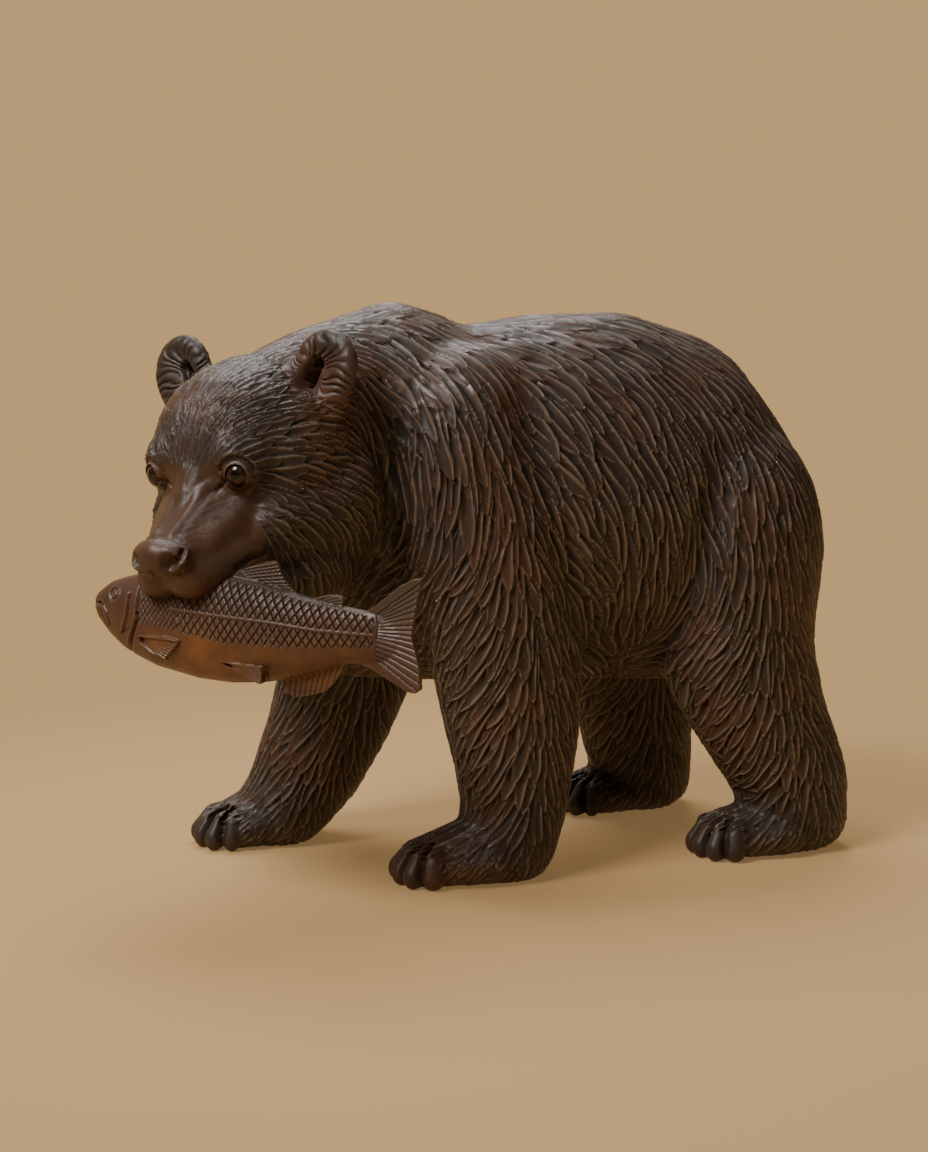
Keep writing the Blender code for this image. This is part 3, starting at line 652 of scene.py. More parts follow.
# %% Guides of the coat
BACK = (37, 6.8, 3.2)
FLANK = (37, 5.6, 3.1)
LEG = (28, 4.9, 2.8)
PAW = (17, 4.2, 1.9)
CHEEK = (20, 4.6, 2.2)
BROW = (21, 3.1, 1.7)
EAR = (12, 3.4, 1.2)
COAT = [
    ((0, -42, 303), (0, 1.0, -0.1), BACK), ((0, 20, 292), (0, 1.0, 0), BACK), ((0, 90, 298), (0, 1.0, -0.1), BACK),
    ((0, 160, 265), (0, 0.75, -0.7), BACK), ((0, 214, 180), (0, 0.1, -1.0), FLANK),
    ((40, 20, 280), (0.3, 0.8, -0.5), BACK), ((40, 80, 285), (0.3, 0.85, -0.4), BACK),
    ((62, 60, 255), (0.2, 0.60, -0.75), BACK), ((60, 150, 240), (0, 0.6, -0.8), BACK),
    ((46, -40, 275), (0.3, 0.6, -0.75), BACK), ((66, -30, 240), (0.1, 0.35, -0.95), FLANK),
    ((58, -62, 235), (0.1, 0.2, -1.0), FLANK), ((75, -35, 200), (0, -0.1, -1.0), FLANK),
    ((78, 15, 230), (0, 0.65, -0.75), FLANK), ((80, 50, 215), (0, 0.45, -0.9), FLANK),
    ((80, 90, 230), (0, 0.45, -0.9), FLANK), ((82, 70, 180), (0, 0.15, -1.0), FLANK),
    ((78, 60, 140), (0, 0.05, -1.0), FLANK), ((70, 70, 105), (-0.2, 0.05, -1.0), FLANK),
    ((82, 130, 215), (0, 0.2, -1.0), FLANK), ((78, 175, 190), (0, 0.35, -0.95), FLANK),
    ((60, 200, 160), (0, 0.25, -1.0), FLANK),
    ((-46, -60, 275), (-0.3, 0.6, -0.75), BACK), ((-40, 80, 285), (-0.3, 0.85, -0.4), BACK),
    ((-40, 20, 280), (-0.3, 0.8, -0.5), BACK), ((-62, 60, 255), (-0.2, 0.60, -0.75), BACK),
    ((-60, 140, 240), (0, 0.6, -0.8), BACK), ((-76, -70, 200), (0, -0.1, -1.0), FLANK),
    ((-80, 10, 220), (0, 0.55, -0.85), FLANK), ((-80, 60, 180), (0, 0.15, -1.0), FLANK),
    ((-78, 40, 140), (0, 0.05, -1.0), FLANK), ((-82, 110, 215), (0, 0.2, -1.0), FLANK),
    ((-70, 180, 170), (0, 0.3, -0.95), FLANK), ((60, 60, 100), (-0.5, 0.05, -1.0), FLANK),
    ((60, 95, 102), (-0.5, 0.05, -1.0), FLANK), ((-60, 60, 100), (0.5, 0.05, -1.0), FLANK),
    ((30, 60, 92), (-0.8, 0.5, -0.4), FLANK), ((0, 60, 92), (0, 1.0, 0), FLANK),
    ((0, -96, 150), (0, 0.1, -1.0), FLANK), ((40, -80, 200), (0.2, 0.2, -1.0), FLANK),
    ((50, -75, 250), (0.3, 0.5, -0.8), FLANK), ((30, -95, 270), (0.2, 0.9, -0.3), CHEEK),
    ((0, -90, 280), (0, 1.0, 0.2), CHEEK),
]
HEAD_COAT = [
    ((46, 0, 14), (-0.6, 0, 0.8), BROW), ((30, 0, 40), (-0.8, 0, 0.5), BROW), ((10, 0, 58), (-1.0, 0, 0.1), CHEEK),
    ((40, 12, 26), (-0.6, 0.35, 0.6), BROW), ((40, -12, 26), (-0.6, -0.35, 0.6), BROW),
    ((30, 28, 26), (-0.8, 0.45, 0.35), BROW), ((30, -28, 26), (-0.8, -0.45, 0.35), BROW),
    ((14, 34, 36), (-0.9, 0.3, 0.15), CHEEK), ((14, -34, 36), (-0.9, -0.3, 0.15), CHEEK),
    ((26, 38, 10), (-0.95, 0.25, 0.05), CHEEK), ((26, -38, 10), (-0.95, -0.25, 0.05), CHEEK),
    ((4, 54, 8), (-1.0, 0.1, -0.15), CHEEK), ((4, -54, 8), (-1.0, -0.1, -0.15), CHEEK),
    ((0, 56, -12), (-0.9, 0, -0.4), CHEEK), ((0, -56, -12), (-0.9, 0, -0.4), CHEEK),
    ((22, 42, -20), (-0.9, 0.1, -0.4), CHEEK), ((22, -42, -20), (-0.9, -0.1, -0.4), CHEEK),
    ((0, 50, -40), (-0.6, 0, -0.8), CHEEK), ((0, -50, -40), (-0.6, 0, -0.8), CHEEK),
    ((18, 36, -44), (-0.6, 0, -0.8), CHEEK), ((18, -36, -44), (-0.6, 0, -0.8), CHEEK),
    ((8, 34, -64), (-0.3, 0, -0.95), CHEEK), ((8, -34, -64), (-0.3, 0, -0.95), CHEEK),
    ((-40, 48, 20), (-0.8, 0.1, -0.6), FLANK), ((-40, -48, 20), (-0.8, -0.1, -0.6), FLANK),
    ((-10, 50, 66), (-0.2, 0.2, 1.0), EAR), ((-10, -50, 66), (-0.2, -0.2, 1.0), EAR),
]
# on each paw: ahead, aside, height, and how steeply the stroke drops
PAW_COAT = ((0.55, 0.0, 24, 0.35), (0.2, 0.6, 24, 0.6), (0.2, -0.6, 24, 0.6), (0.0, 1.0, 8, 1.2))
guides = [(p, Vector(way), size) for p, way, size in COAT]
guides += [(tuple(head_point(*p)), HEAD_F * way[0] + HEAD_L * way[1] + HEAD_U * way[2], size)
           for p, way, size in HEAD_COAT]
for name, joints in LEGS.items():
    for (above, _), (centre, half) in zip(joints, joints[1:]):
        lean = (centre[1] - above[1]) / max(above[2] - centre[2], 8.0)
        size = PAW if centre[2] < 20 else LEG
        for offset in (-1.0, -0.7, -0.35, 0.0, 0.35, 0.7, 1.0):
            aside = half[0] * math.sqrt(max(1.0 - offset * offset, 0.0))
            for face in (1, -1):
                place = (centre[0] + face * aside, centre[1] + offset * half[1], centre[2])
                guides.append((place, Vector((0.0, 1.35 * offset + 0.5 * lean, -1.0)), size))
for (x, y), length, width, instep, yaw in PAWS:
    forward, side = paw_axes(yaw)
    for ahead, aside, height, drop in PAW_COAT:
        place = Vector((x, y, height)) + forward * (ahead * length) + side * (aside * width)
        guides.append((tuple(place), forward + side * aside * 0.3 - UP * drop, PAW))


def unit(rows):
    return rows / np.maximum(np.linalg.norm(rows, axis=1), 1e-9)[:, None]


guide_places = np.array([place for place, way, size in guides], float)
guide_ways = unit(np.array([tuple(way) for place, way, size in guides], float))
guide_sizes = np.array([size for place, way, size in guides], float)
print("guides of the coat:", len(guides))


def coat_at(points, normals):
    """Way of the strokes and their length, width and depth at each point."""
    ways = np.zeros_like(points)
    sizes = np.zeros_like(points)
    for start in range(0, len(points), 20000):
        part = points[start:start + 20000]
        squares = (part ** 2).sum(axis=1)[:, None] + (guide_places ** 2).sum(axis=1)
        away = squares - 2 * part @ guide_places.T
        weight = 1.0 / (away + 40.0) ** 2
        ways[start:start + 20000] = weight @ guide_ways
        sizes[start:start + 20000] = (weight @ guide_sizes) / weight.sum(axis=1)[:, None]
    ways -= (ways * normals).sum(axis=1)[:, None] * normals
    return unit(ways), sizes


# %% [markdown]
# ## Smooth wood and the far side
#
# Three parts are left smooth: the muzzle, a rim round each eye, and the toes. The far side gets
# coarser strokes, as the back of a shelf figure often does, so the fine ones can be spent where
# they are seen.

# %% Where the wood stays smooth
SEEN_FROM = np.array((0.928, -0.338, 0.155))


def far_side(normals):
    """1 where the skin faces away from the side that is shown."""
    return soft((-(normals @ SEEN_FROM) - 0.05) / 0.25)


def muzzle_at(points):
    f, l, u = head_frame(points)
    muzzle = soft((f - 27.0 - 0.75 * np.clip(u + 8.0, 0, 40)) / 13.0) * soft((38.0 - np.abs(l)) / 7.0)
    return muzzle * soft((9.0 - u) / 8.0) * (f < 120) * (points[:, 2] > 100)


def bare(points):
    """1 where the wood stays smooth."""
    tips = 0.80 * muzzle_at(points)
    for middle, length, width, instep, yaw in PAWS:
        start, ways = toe_ways(middle, yaw, (TOE_ANGLES[2],))
        x, y = points[:, 0] - start.x, points[:, 1] - start.y
        reach = np.hypot(x, y)
        ahead = (x * ways[0].x + y * ways[0].y) / np.maximum(reach, 1.0)
        near = soft((reach - length * 0.50) / 5.0) * soft((ahead - 0.35) / 0.2) * (reach < length)
        tips = np.maximum(tips, near * soft((20.0 - points[:, 2]) / 5.0))
    for side in (1, -1):
        x, y, out = on_plane(points, EARS[side])
        tips = np.maximum(tips, soft((22.0 - np.hypot(x, y)) / 3.0) * (out > 0.0) * (out < 9.0) * (y > -14))
        x, y, out = on_plane(points, EYE_PLANES[side])
        tips = np.maximum(tips, soft((12.5 - np.hypot(x, y)) / 3.0) * (np.abs(out) < 12.0))
    return np.clip(tips, 0.0, 1.0)


# %% [markdown]
# ## Cutting the fur
#
# Every lock is one stroke of a gouge: a long hollow channel with a crisp rim on each side, which
# rises and narrows to a point where the tool came out. The skin takes the highest stroke at each
# point, so neighbours meet in sharp ridges and each tip steps down onto the next lock.

# %% Scatter the locks


def scatter(points, ways, normals, sizes, rng, along=0.50, across=0.70):
    """Seeds that keep clear of each other: closer side by side than end to end."""
    pool = rng.permutation(len(points))[:150000]
    cell = 18.0
    table = {}
    keys = np.floor(points[pool] / cell).astype(int)
    for number, key in enumerate(map(tuple, keys)):
        table.setdefault(key, []).append(number)
    table = {key: np.array(numbers) for key, numbers in table.items()}
    free = np.ones(len(pool), bool)
    chosen = []
    for number in range(len(pool)):
        if not free[number]:
            continue
        index = pool[number]
        chosen.append(index)
        x, y, z = keys[number]
        near = [table[(i, j, k)] for i in (x - 1, x, x + 1) for j in (y - 1, y, y + 1)
                for k in (z - 1, z, z + 1) if (i, j, k) in table]
        near = np.concatenate(near)
        near = near[free[near]]
        away = points[pool[near]] - points[index]
        s = away @ ways[index] / (sizes[index, 0] * along)
        t = away @ np.cross(normals[index], ways[index]) / (sizes[index, 1] * across)
        n = away @ normals[index] / 6.0
        free[near[s * s + t * t + n * n < 1.0]] = False
        free[number] = False
    return np.array(chosen)


# %% Find the points near a lock


class Cells:
    """Points sorted into cubes, so that the neighbours of a lock are found quickly."""

    def __init__(self, points, cell):
        self.cell = cell
        keys = np.floor(points / cell).astype(np.int64) + 500
        code = (keys[:, 0] * 1000 + keys[:, 1]) * 1000 + keys[:, 2]
        self.order = np.argsort(code, kind="stable")
        codes, starts = np.unique(code[self.order], return_index=True)
        ends = np.append(starts[1:], len(code))
        self.spans = dict(zip(codes.tolist(), zip(starts.tolist(), ends.tolist())))

    def near(self, point, reach):
        low = np.floor((point - reach) / self.cell).astype(int) + 500
        high = np.floor((point + reach) / self.cell).astype(int) + 500
        found = []
        for x in range(low[0], high[0] + 1):
            for y in range(low[1], high[1] + 1):
                for z in range(low[2], high[2] + 1):
                    span = self.spans.get((x * 1000 + y) * 1000 + z)
                    if span is not None:
                        found.append(self.order[span[0]:span[1]])
        return np.concatenate(found) if found else np.zeros(0, int)


# %% Average over neighbours


def neighbour_mean(obj, values, rounds):
    """Average of the values over a point and its neighbours, a few times over."""
    flat = np.zeros(len(obj.data.edges) * 2, int)
    obj.data.edges.foreach_get("vertices", flat)
    a, b = flat.reshape(-1, 2).T
    count = np.bincount(a, minlength=len(values)) + np.bincount(b, minlength=len(values)) + 1.0
    for turn in range(rounds):
        total = np.bincount(a, values[b], len(values)) + np.bincount(b, values[a], len(values)) + values
        values = total / count
    return values


# %% Cut every lock


def cut_fur(obj, seed):
    rng = np.random.default_rng(seed)
    places = places_of(obj)
    normals = normals_of(obj)
    normals = unit(np.stack([neighbour_mean(obj, normals[:, k], 6) for k in range(3)], axis=1))
    ways, sizes = coat_at(places, normals)
    sizes[:, :2] *= 1.0 + 0.45 * far_side(normals)[:, None]
    smooth_wood = bare(places)
    seeds = scatter(places, ways, normals, sizes, rng)
    seeds = seeds[smooth_wood[seeds] < 0.85]
    cells = Cells(places, 8.0)
    height = np.full(len(places), -0.50)
    for index in seeds:
        length = sizes[index, 0] * rng.uniform(0.8, 1.25)
        width = sizes[index, 1] * rng.uniform(0.85, 1.2)
        p = places[index]
        n = normals[index]
        d = ways[index] + np.cross(n, ways[index]) * rng.normal(0.0, 0.08)
        d /= np.linalg.norm(d)
        near = cells.near(p, length * 0.8)
        away = places[near] - p
        s = away @ d / length
        t = away @ np.cross(n, d) / width + rng.normal(0.0, 0.5) * s * s
        t += 0.09 * np.sin(5.0 * s + rng.uniform(0.0, 6.3))
        facing = (normals[near] @ n > 0.2) & (np.abs(s) < 0.95) & (np.abs(t) < 1.0)
        near, s, t = near[facing], s[facing], t[facing]
        ahead = np.clip(s, 0.0, 0.62) / 0.62
        behind = np.clip(-s, 0.0, 1.0)
        half = np.maximum(0.60 * (1.0 - ahead ** 3.4) * (1.0 - behind ** 2.5), 0.03)
        edge = np.clip(t / half, -1.0, 1.0)
        rim = (0.40 * edge ** 2 + 0.20 * edge) * (1.0 - 0.5 * ahead)
        tongue = rng.uniform(-0.10, 0.10) + 0.60 * s + rim
        tongue -= 3.0 * np.clip(np.abs(t) - half, 0.0, None) + 6.0 * np.clip(s - 0.60, 0.0, None)
        height[near] = np.maximum(height[near], tongue)
    around = neighbour_mean(obj, np.clip(height, -0.50, 0.80), 1)
    height = np.clip(height, around - 0.30, around + 0.30)
    places += normals * ((height - 0.40) * (1.0 - smooth_wood) * sizes[:, 2])[:, None]
    places[:, 2] = np.maximum(places[:, 2], 0.0)
    put_places(obj, places)
    return height * (1.0 - smooth_wood), far_side(normals), len(seeds)


height, away_part, count = cut_fur(bear, 11)
print("locks cut:", count)

# %% [markdown]
# ## Ridges and hollows
#
# Hollows are painted darker, partly stain that gathers there and partly painted shade, and ridges
# are painted paler, partly where stain rubs off and partly a painted highlight. How far each point
# stands above the average of its neighbourhood tells which it is, and the finish reads that from an
# attribute. It finds the fur strokes, the nostrils, the lids and the clefts alike. A wider average,
# kept as deep, finds the larger recesses, which get painted shade.

# %% Measure ridges and hollows


def note(obj, name, values):
    """Keep a value at every point for the finish."""
    attribute = obj.data.attributes.new(name, "FLOAT", "POINT")
    attribute.data.foreach_set("value", values.astype(np.float32))


def stands_out(obj, rounds):
    """How far each point stands above the mean of the skin round it, in steps."""
    places = places_of(obj)
    around = np.stack([neighbour_mean(obj, places[:, k], rounds) for k in range(3)], axis=1)
    return ((places - around) * normals_of(obj)).sum(axis=1)


note(bear, "cut", height)
# relief and deep place the painted highlight on ridges and the painted shade in hollows and recesses.
note(bear, "relief", stands_out(bear, 5))
note(bear, "deep", stands_out(bear, 26))
note(bear, "polish", muzzle_at(places_of(bear)))

# %% [markdown]
# ## Fewer triangles where nothing is lost
#
# The decimate modifier merges faces where the skin is flat. The far side is thinned first, by a
# vertex group, then the trunk and legs, so that the face and the toes keep the finest skin.

# %% Thin the skin
FAR_TRIANGLES = 42000
TRUNK_TRIANGLES = 108000
BEAR_TRIANGLES = 197500
SALMON_TRIANGLES = 150000


def thinned_part(obj, name, wanted):
    """Thin only where the named attribute is over a half, to the wanted triangles there."""
    values = np.zeros(len(obj.data.vertices), np.float32)
    obj.data.attributes[name].data.foreach_get("value", values)
    total = len(obj.data.polygons)
    corners = np.zeros(total * 3, int)
    obj.data.polygons.foreach_get("vertices", corners)
    part = int((values[corners.reshape(-1, 3)].mean(axis=1) > 0.5).sum())
    group = obj.vertex_groups.new(name=name)
    group.add(np.where(values > 0.5)[0].tolist(), 1.0, "REPLACE")
    if part > wanted:
        finish_with(obj, "DECIMATE", decimate_type="COLLAPSE", ratio=1.0 - (part - wanted) / total,
                    vertex_group=name, vertex_group_factor=1000.0)
    obj.vertex_groups.clear()
    obj.data.attributes.remove(obj.data.attributes[name])
    print(name, "thinned from", part, "to", wanted, "triangles, the whole is now", len(obj.data.polygons))


def thinned(obj, wanted):
    before = len(obj.data.polygons)
    if before > wanted:
        finish_with(obj, "DECIMATE", decimate_type="COLLAPSE", ratio=wanted / before)
    print(obj.name, "thinned from", before, "to", len(obj.data.polygons), "triangles")


places = places_of(bear)
f_at, l_at, u_at = head_frame(places)
finest = soft((f_at + 30.0) / 8.0) * (np.hypot(l_at, u_at) < 80)
finest = finest * (places[:, 1] < -80) * (places[:, 2] > 120)
finest = np.maximum(finest, toe_part(places) * 1.0) * (away_part < 0.5)
note(bear, "far_side", away_part)
note(bear, "trunk_and_legs", (finest < 0.5) * (away_part < 0.5) * 1.0)
finish_with(bear, "TRIANGULATE")
thinned_part(bear, "far_side", FAR_TRIANGLES)
thinned_part(bear, "trunk_and_legs", TRUNK_TRIANGLES)
thinned(bear, BEAR_TRIANGLES)

# %% [markdown]
# ## The salmon
#
# A fish is lofted: rings of points set along its length, bridged into a skin. The fins are thin
# plates. Then the whole is remeshed finely, and the scales, rays and gills are cut with the same
# V tool as the face, from each side.

# %% Loft the salmon
SECTIONS = [
    (0.000, 6.5, 0.5, 1.6), (0.015, 10.0, -4.5, 4.0), (0.055, 15.5, -12.0, 7.5), (0.100, 18.5, -18.0, 10.5),
    (0.140, 20.4, -21.5, 12.0), (0.210, 22.5, -25.9, 14.0), (0.340, 24.0, -29.7, 15.5), (0.440, 24.0, -30.2, 15.5),
    (0.530, 22.0, -28.5, 14.5), (0.640, 17.5, -24.3, 12.0), (0.726, 14.8, -18.8, 9.5), (0.774, 13.8, -15.0, 8.0),
    (0.830, 12.6, -13.6, 6.2), (0.880, 12.0, -13.0, 4.2), (0.910, 11.0, -12.0, 2.6), (0.935, 9.0, -10.0, 1.8),
]


def skin(name, rings):
    """A closed skin over rings of points."""
    count = len(rings[0])
    points = [tuple(Vector(p) * STEP) for ring in rings for p in ring]
    faces = []
    for i in range(len(rings) - 1):
        for j in range(count):
            k = (j + 1) % count
            faces.append((i * count + j, i * count + k, (i + 1) * count + k, (i + 1) * count + j))
    faces.append(tuple(reversed(range(count))))
    faces.append(tuple(range((len(rings) - 1) * count, len(rings) * count)))
    mesh = bpy.data.meshes.new(name)
    mesh.from_pydata(points, [], faces)
    obj = bpy.data.objects.new(name, mesh)
    bpy.context.scene.collection.objects.link(obj)
    take(obj)
    bpy.ops.object.mode_set(mode="EDIT")
    bpy.ops.mesh.select_all(action="SELECT")
    bpy.ops.mesh.normals_make_consistent(inside=False)
    bpy.ops.object.mode_set(mode="OBJECT")
    made.append(obj)
    return obj


shares = np.array([row[0] for row in SECTIONS])
wanted = np.linspace(0.0, 0.935, 64)
backs, bellies, halves = [np.interp(wanted, shares, [row[k] for row in SECTIONS]) for k in (1, 2, 3)]
rings = []
for share, back, belly, half in zip(wanted, backs, bellies, halves):
    angles = [2.0 * math.pi * j / 32 for j in range(32)]
    middle, rise = (back + belly) / 2, (back - belly) / 2
    rings.append([salmon_point(share, math.cos(a) * half, middle + math.sin(a) * rise) for a in angles])
skin("salmon_body", rings)

# %% [markdown]
# ## Fins
#
# Each fin is an outline with a thickness. The fins on the middle stand upright. The breast and
# belly fins lie along the flank and flare out from it towards their cut ends.

# %% Fins
TAIL_FIN = [(0.80, 11.5), (0.851, 12.4), (0.898, 19.0), (0.945, 26.1), (0.985, 29.8), (1.004, 30.2), (1.002, 26.9),
            (0.991, 19.1), (0.979, 7.3), (0.977, 1.4), (0.986, -4.2), (0.998, -13.1), (1.001, -23.5), (0.984, -25.7),
            (0.963, -25.2), (0.905, -20.0), (0.858, -15.6), (0.811, -13.1)]
BACK_FIN = [(0.43, 18.0), (0.445, 24.0), (0.466, 27.0), (0.50, 29.4), (0.545, 32.0), (0.572, 33.0), (0.583, 31.5),
            (0.590, 27.9), (0.600, 24.6), (0.609, 22.2), (0.629, 18.5), (0.655, 16.4), (0.64, 13.0), (0.50, 18.0)]
SMALL_FIN = [(0.655, 12.0), (0.685, 15.8), (0.71, 17.4), (0.733, 18.4), (0.757, 18.8), (0.773, 18.0), (0.779, 16.4),
             (0.776, 14.4), (0.768, 12.6), (0.72, 10.0)]
VENT_FIN = [(0.585, -22.0), (0.600, -31.0), (0.625, -34.0), (0.67, -32.5), (0.714, -30.1), (0.745, -25.0),
            (0.771, -18.4), (0.776, -14.6), (0.68, -16.0)]
for outline, half in ((TAIL_FIN, 1.6), (BACK_FIN, 1.7), (SMALL_FIN, 1.8), (VENT_FIN, 1.4)):
    skin("fin", [[salmon_point(s, across, r) for s, r in outline] for across in (-half, half)])

# each side fin: its outline, and how far out it stands at its root and for each step along
BREAST_FIN = ([(0.180, -9.6), (0.190, -8.0), (0.236, -7.9), (0.272, -6.8), (0.318, -8.2), (0.324, -9.2),
               (0.300, -13.8), (0.278, -18.2), (0.270, -18.4), (0.221, -15.9), (0.184, -12.2)], 11.8, 0.15)
BELLY_FIN = ([(0.440, -18.2), (0.467, -17.4), (0.52, -17.7), (0.566, -18.4), (0.574, -20.0), (0.573, -25.6),
              (0.566, -26.4), (0.52, -23.6), (0.47, -20.4)], 11.3, 0.10)
for outline, stand, flare in (BREAST_FIN, BELLY_FIN):
    for side in (1, -1):
        first = outline[0][0]
        skin("side_fin", [[salmon_point(s, side * (stand + rise + (s - first) * SALMON_LENGTH * flare), r)
                           for s, r in outline] for rise in (-3.6, 1.3)])
salmon = joined("salmon_carved")
melt(salmon, 0.45, 3)
print("salmon in", len(salmon.data.polygons), "faces")

# %% [markdown]
# ## Gills, mouth and rays
#
# The lines are laid out by share of the fish's length and by height, as on a side drawing, and
# the same drawing is cut into both flanks. Rays are the ribs of a fin: a row of V cuts between a
# line of feet and a line of tips.

# %% Cut the gills, the mouth and the rays


def along_path(path, share):
    """The point at this share of the way from the path's start to its end, by corners."""
    at = share * (len(path) - 1)
    low = min(int(at), len(path) - 2)
    a, b = path[low], path[low + 1]
    return (a[0] + (b[0] - a[0]) * (at - low), a[1] + (b[1] - a[1]) * (at - low))


def cut_flanks(places, path, width, depth):
    """The same line cut into both flanks of the salmon."""
    for side in (1, -1):
        plane = (salmon_point(0.0, 0.0, 0.0), SALMON_BACK, UP, SALMON_SIDE * side)
        mine = on_plane(places, plane)[2] > 0.5
        flank_places = places[mine]
        draw(flank_places, plane, [(s * SALMON_LENGTH, r) for s, r in path], width, depth, 20.0)
        places[mine] = flank_places


def cut_rays(places, feet, tips, count, width, depth):
    for number in range(count):
        share = number / (count - 1)
        cut_flanks(places, [along_path(feet, share), along_path(tips, share)], width, depth)


HEAD_LINES = [
    ([(0.170, 22.0), (0.182, 19.0), (0.183, 11.0), (0.181, 2.5)], 1.5, 1.1),
    ([(0.181, 2.5), (0.184, 0.5), (0.168, -5.7), (0.141, -15.0), (0.126, -20.0)], 1.6, 1.8),
    ([(0.173, 16.0), (0.173, 2.0), (0.160, -5.0), (0.134, -14.0)], 1.6, -0.5),
    ([(0.143, 12.0), (0.141, 6.3), (0.140, 1.7), (0.134, -1.8), (0.118, -7.8)], 1.2, -0.8),
    ([(0.150, 11.0), (0.148, 1.7), (0.141, -2.6), (0.126, -8.2)], 1.2, 0.8),
    ([(0.116, -8.6), (0.160, -4.4)], 1.0, 0.6),
    ([(-0.02, 4.0), (0.010, 4.2), (0.030, 4.9)], 1.3, 1.8),
    ([(0.030, 4.9), (0.049, 4.2), (0.066, 0.6), (0.072, -5.7)], 1.2, 1.0),
    ([(0.029, 4.7), (0.036, 0.6), (0.060, -6.6)], 1.0, 0.7),
    ([(0.036, 3.6), (0.050, 0.4), (0.066, -5.0)], 1.2, -0.5),
    ([(0.004, 8.0), (0.028, 7.4), (0.050, 6.4)], 1.3, -0.4),
    ([(0.090 + x / SALMON_LENGTH, 10.6 + y) for x, y in arc(2.6, 0, 360, 16)], 0.9, 0.7),
    ([(0.090 + x / SALMON_LENGTH, 10.6 + y) for x, y in arc(3.9, 0, 360, 16)], 1.0, -0.4),
]
TAIL_FEET = [(0.878, 11.0), (0.886, 6.6), (0.884, 0.0), (0.878, -11.0)]
TAIL_TIPS = [(1.010, 29.0), (0.997, 18.0), (0.985, 7.3), (0.984, -1.0), (1.000, -12.0), (0.998, -25.0)]
LATERAL = [(0.290, 6.8), (0.351, 6.4), (0.462, 5.6), (0.574, 4.6), (0.718, 2.2), (0.876, 1.4)]
places = places_of(salmon)
for path, width, depth in HEAD_LINES:
    cut_flanks(places, path, width, depth)
for side in (1, -1):
    press(places, salmon_point(0.090, 9.0 * side, 10.6), 3.4, np.array(SALMON_SIDE) * side * 0.8)
cut_rays(places, TAIL_FEET, TAIL_TIPS, 16, 0.85, 0.75)
cut_rays(places, [(0.470, 28.0), (0.491, 24.6), (0.544, 21.3), (0.605, 19.0)],
         [(0.580, 32.9), (0.596, 27.9), (0.616, 22.2), (0.640, 17.8)], 10, 0.9, 0.9)
cut_rays(places, [(0.700, 14.6), (0.735, 13.6)], [(0.760, 19.2), (0.784, 14.6)], 4, 0.8, 0.5)
cut_rays(places, [(0.600, -24.0), (0.765, -14.6)], [(0.600, -35.0), (0.735, -31.0)], 10, 0.9, 0.7)
cut_rays(places, [(0.184, -9.6), (0.192, -11.8)], [(0.326, -9.4), (0.270, -18.8)], 8, 0.9, 1.0)
cut_rays(places, [(0.450, -18.3), (0.462, -19.6)], [(0.576, -19.0), (0.566, -26.8)], 7, 0.8, 0.9)
put_places(salmon, places)
print("lines cut into each flank:", len(HEAD_LINES) + 16 + 10 + 4 + 10 + 8 + 7)

# %% [markdown]
# ## Scales
#
# Two families of slanting V cuts cross into diamonds. Each diamond is tilted like a roof tile,
# low at its front and high at its back. Behind the gills the scales are finer. They end along a
# line above the belly, and a thin raised line runs along the middle of the flank.

# %% Cut the scales
x, y, out = on_plane(places, (salmon_point(0.0, 0.0, 0.0), SALMON_BACK, UP, SALMON_SIDE))
share = x / SALMON_LENGTH
normals = normals_of(salmon)
dense = 1.0 + 0.55 * soft((0.34 - share) / 0.06)
steps_along = (x + 0.55 * SALMON_LENGTH * (np.minimum(share, 0.31) - 0.31)) / 4.4
p = steps_along + (y - 6.0) / 6.2 * dense
q = steps_along - (y - 6.0) / 6.2 * dense
p_part = p - np.floor(p)
q_part = q - np.floor(q)
lines = np.maximum(soft(1.0 - np.minimum(p_part, 1 - p_part) / 0.17),
                   soft(1.0 - np.minimum(q_part, 1 - q_part) / 0.17))
lower_edge = np.interp(share, (0.20, 0.315, 0.45, 0.63, 0.75, 0.88), (-3.2, -5.3, -8.7, -8.7, -7.4, -5.8))
flank = soft((share - 0.184) / 0.008) * soft((0.880 - share) / 0.010) * soft((y - lower_edge) / 2.5)
top_edge = np.interp(share, shares, [r[1] for r in SECTIONS])
flank *= soft((np.abs(out) - 2.4) / 1.0) * soft((top_edge - 0.6 - y) / 1.5)
scale = (0.42 * (p_part + q_part - 1.0) - 0.75 * lines) * flank / dense
middle_line = line_distance(np.stack([x, y], axis=1), [(s * SALMON_LENGTH, r) for s, r in LATERAL])
raised = soft(1.0 - middle_line / 1.0) * flank
scale = scale * (1.0 - soft(1.3 - middle_line)) + 0.30 * raised
places = places + normals * (scale * 0.85)[:, None]
put_places(salmon, places)
note(salmon, "cut", -lines * flank * (1.0 - raised))
note(salmon, "relief", stands_out(salmon, 6))
patch = np.exp(-((share - 0.36) / 0.13) ** 2 - ((y + 12.0) / 9.0) ** 2)
belly = soft((2.0 - y) / 14.0) * soft((0.90 - share) / 0.1)
belly = belly * soft((share - 0.17) / 0.1) * soft((y + 31.0) / 5.0)
note(salmon, "warm", belly * 0.40 + patch * 0.50)
note(salmon, "crown", soft((y - 4.0) / 12.0) * soft((share - 0.15) / 0.06))
finish_with(salmon, "TRIANGULATE")
thinned(salmon, SALMON_TRIANGLES)

# %% [markdown]
# ## The eyes
#
# Each eye is a polished ball let into its socket. Blender's sphere is enough here, as only the
# front of it shows between the lids. How far each point lies off the line of sight is kept, so
# that the finish can draw the pupil and the iris.

# %% The eyes


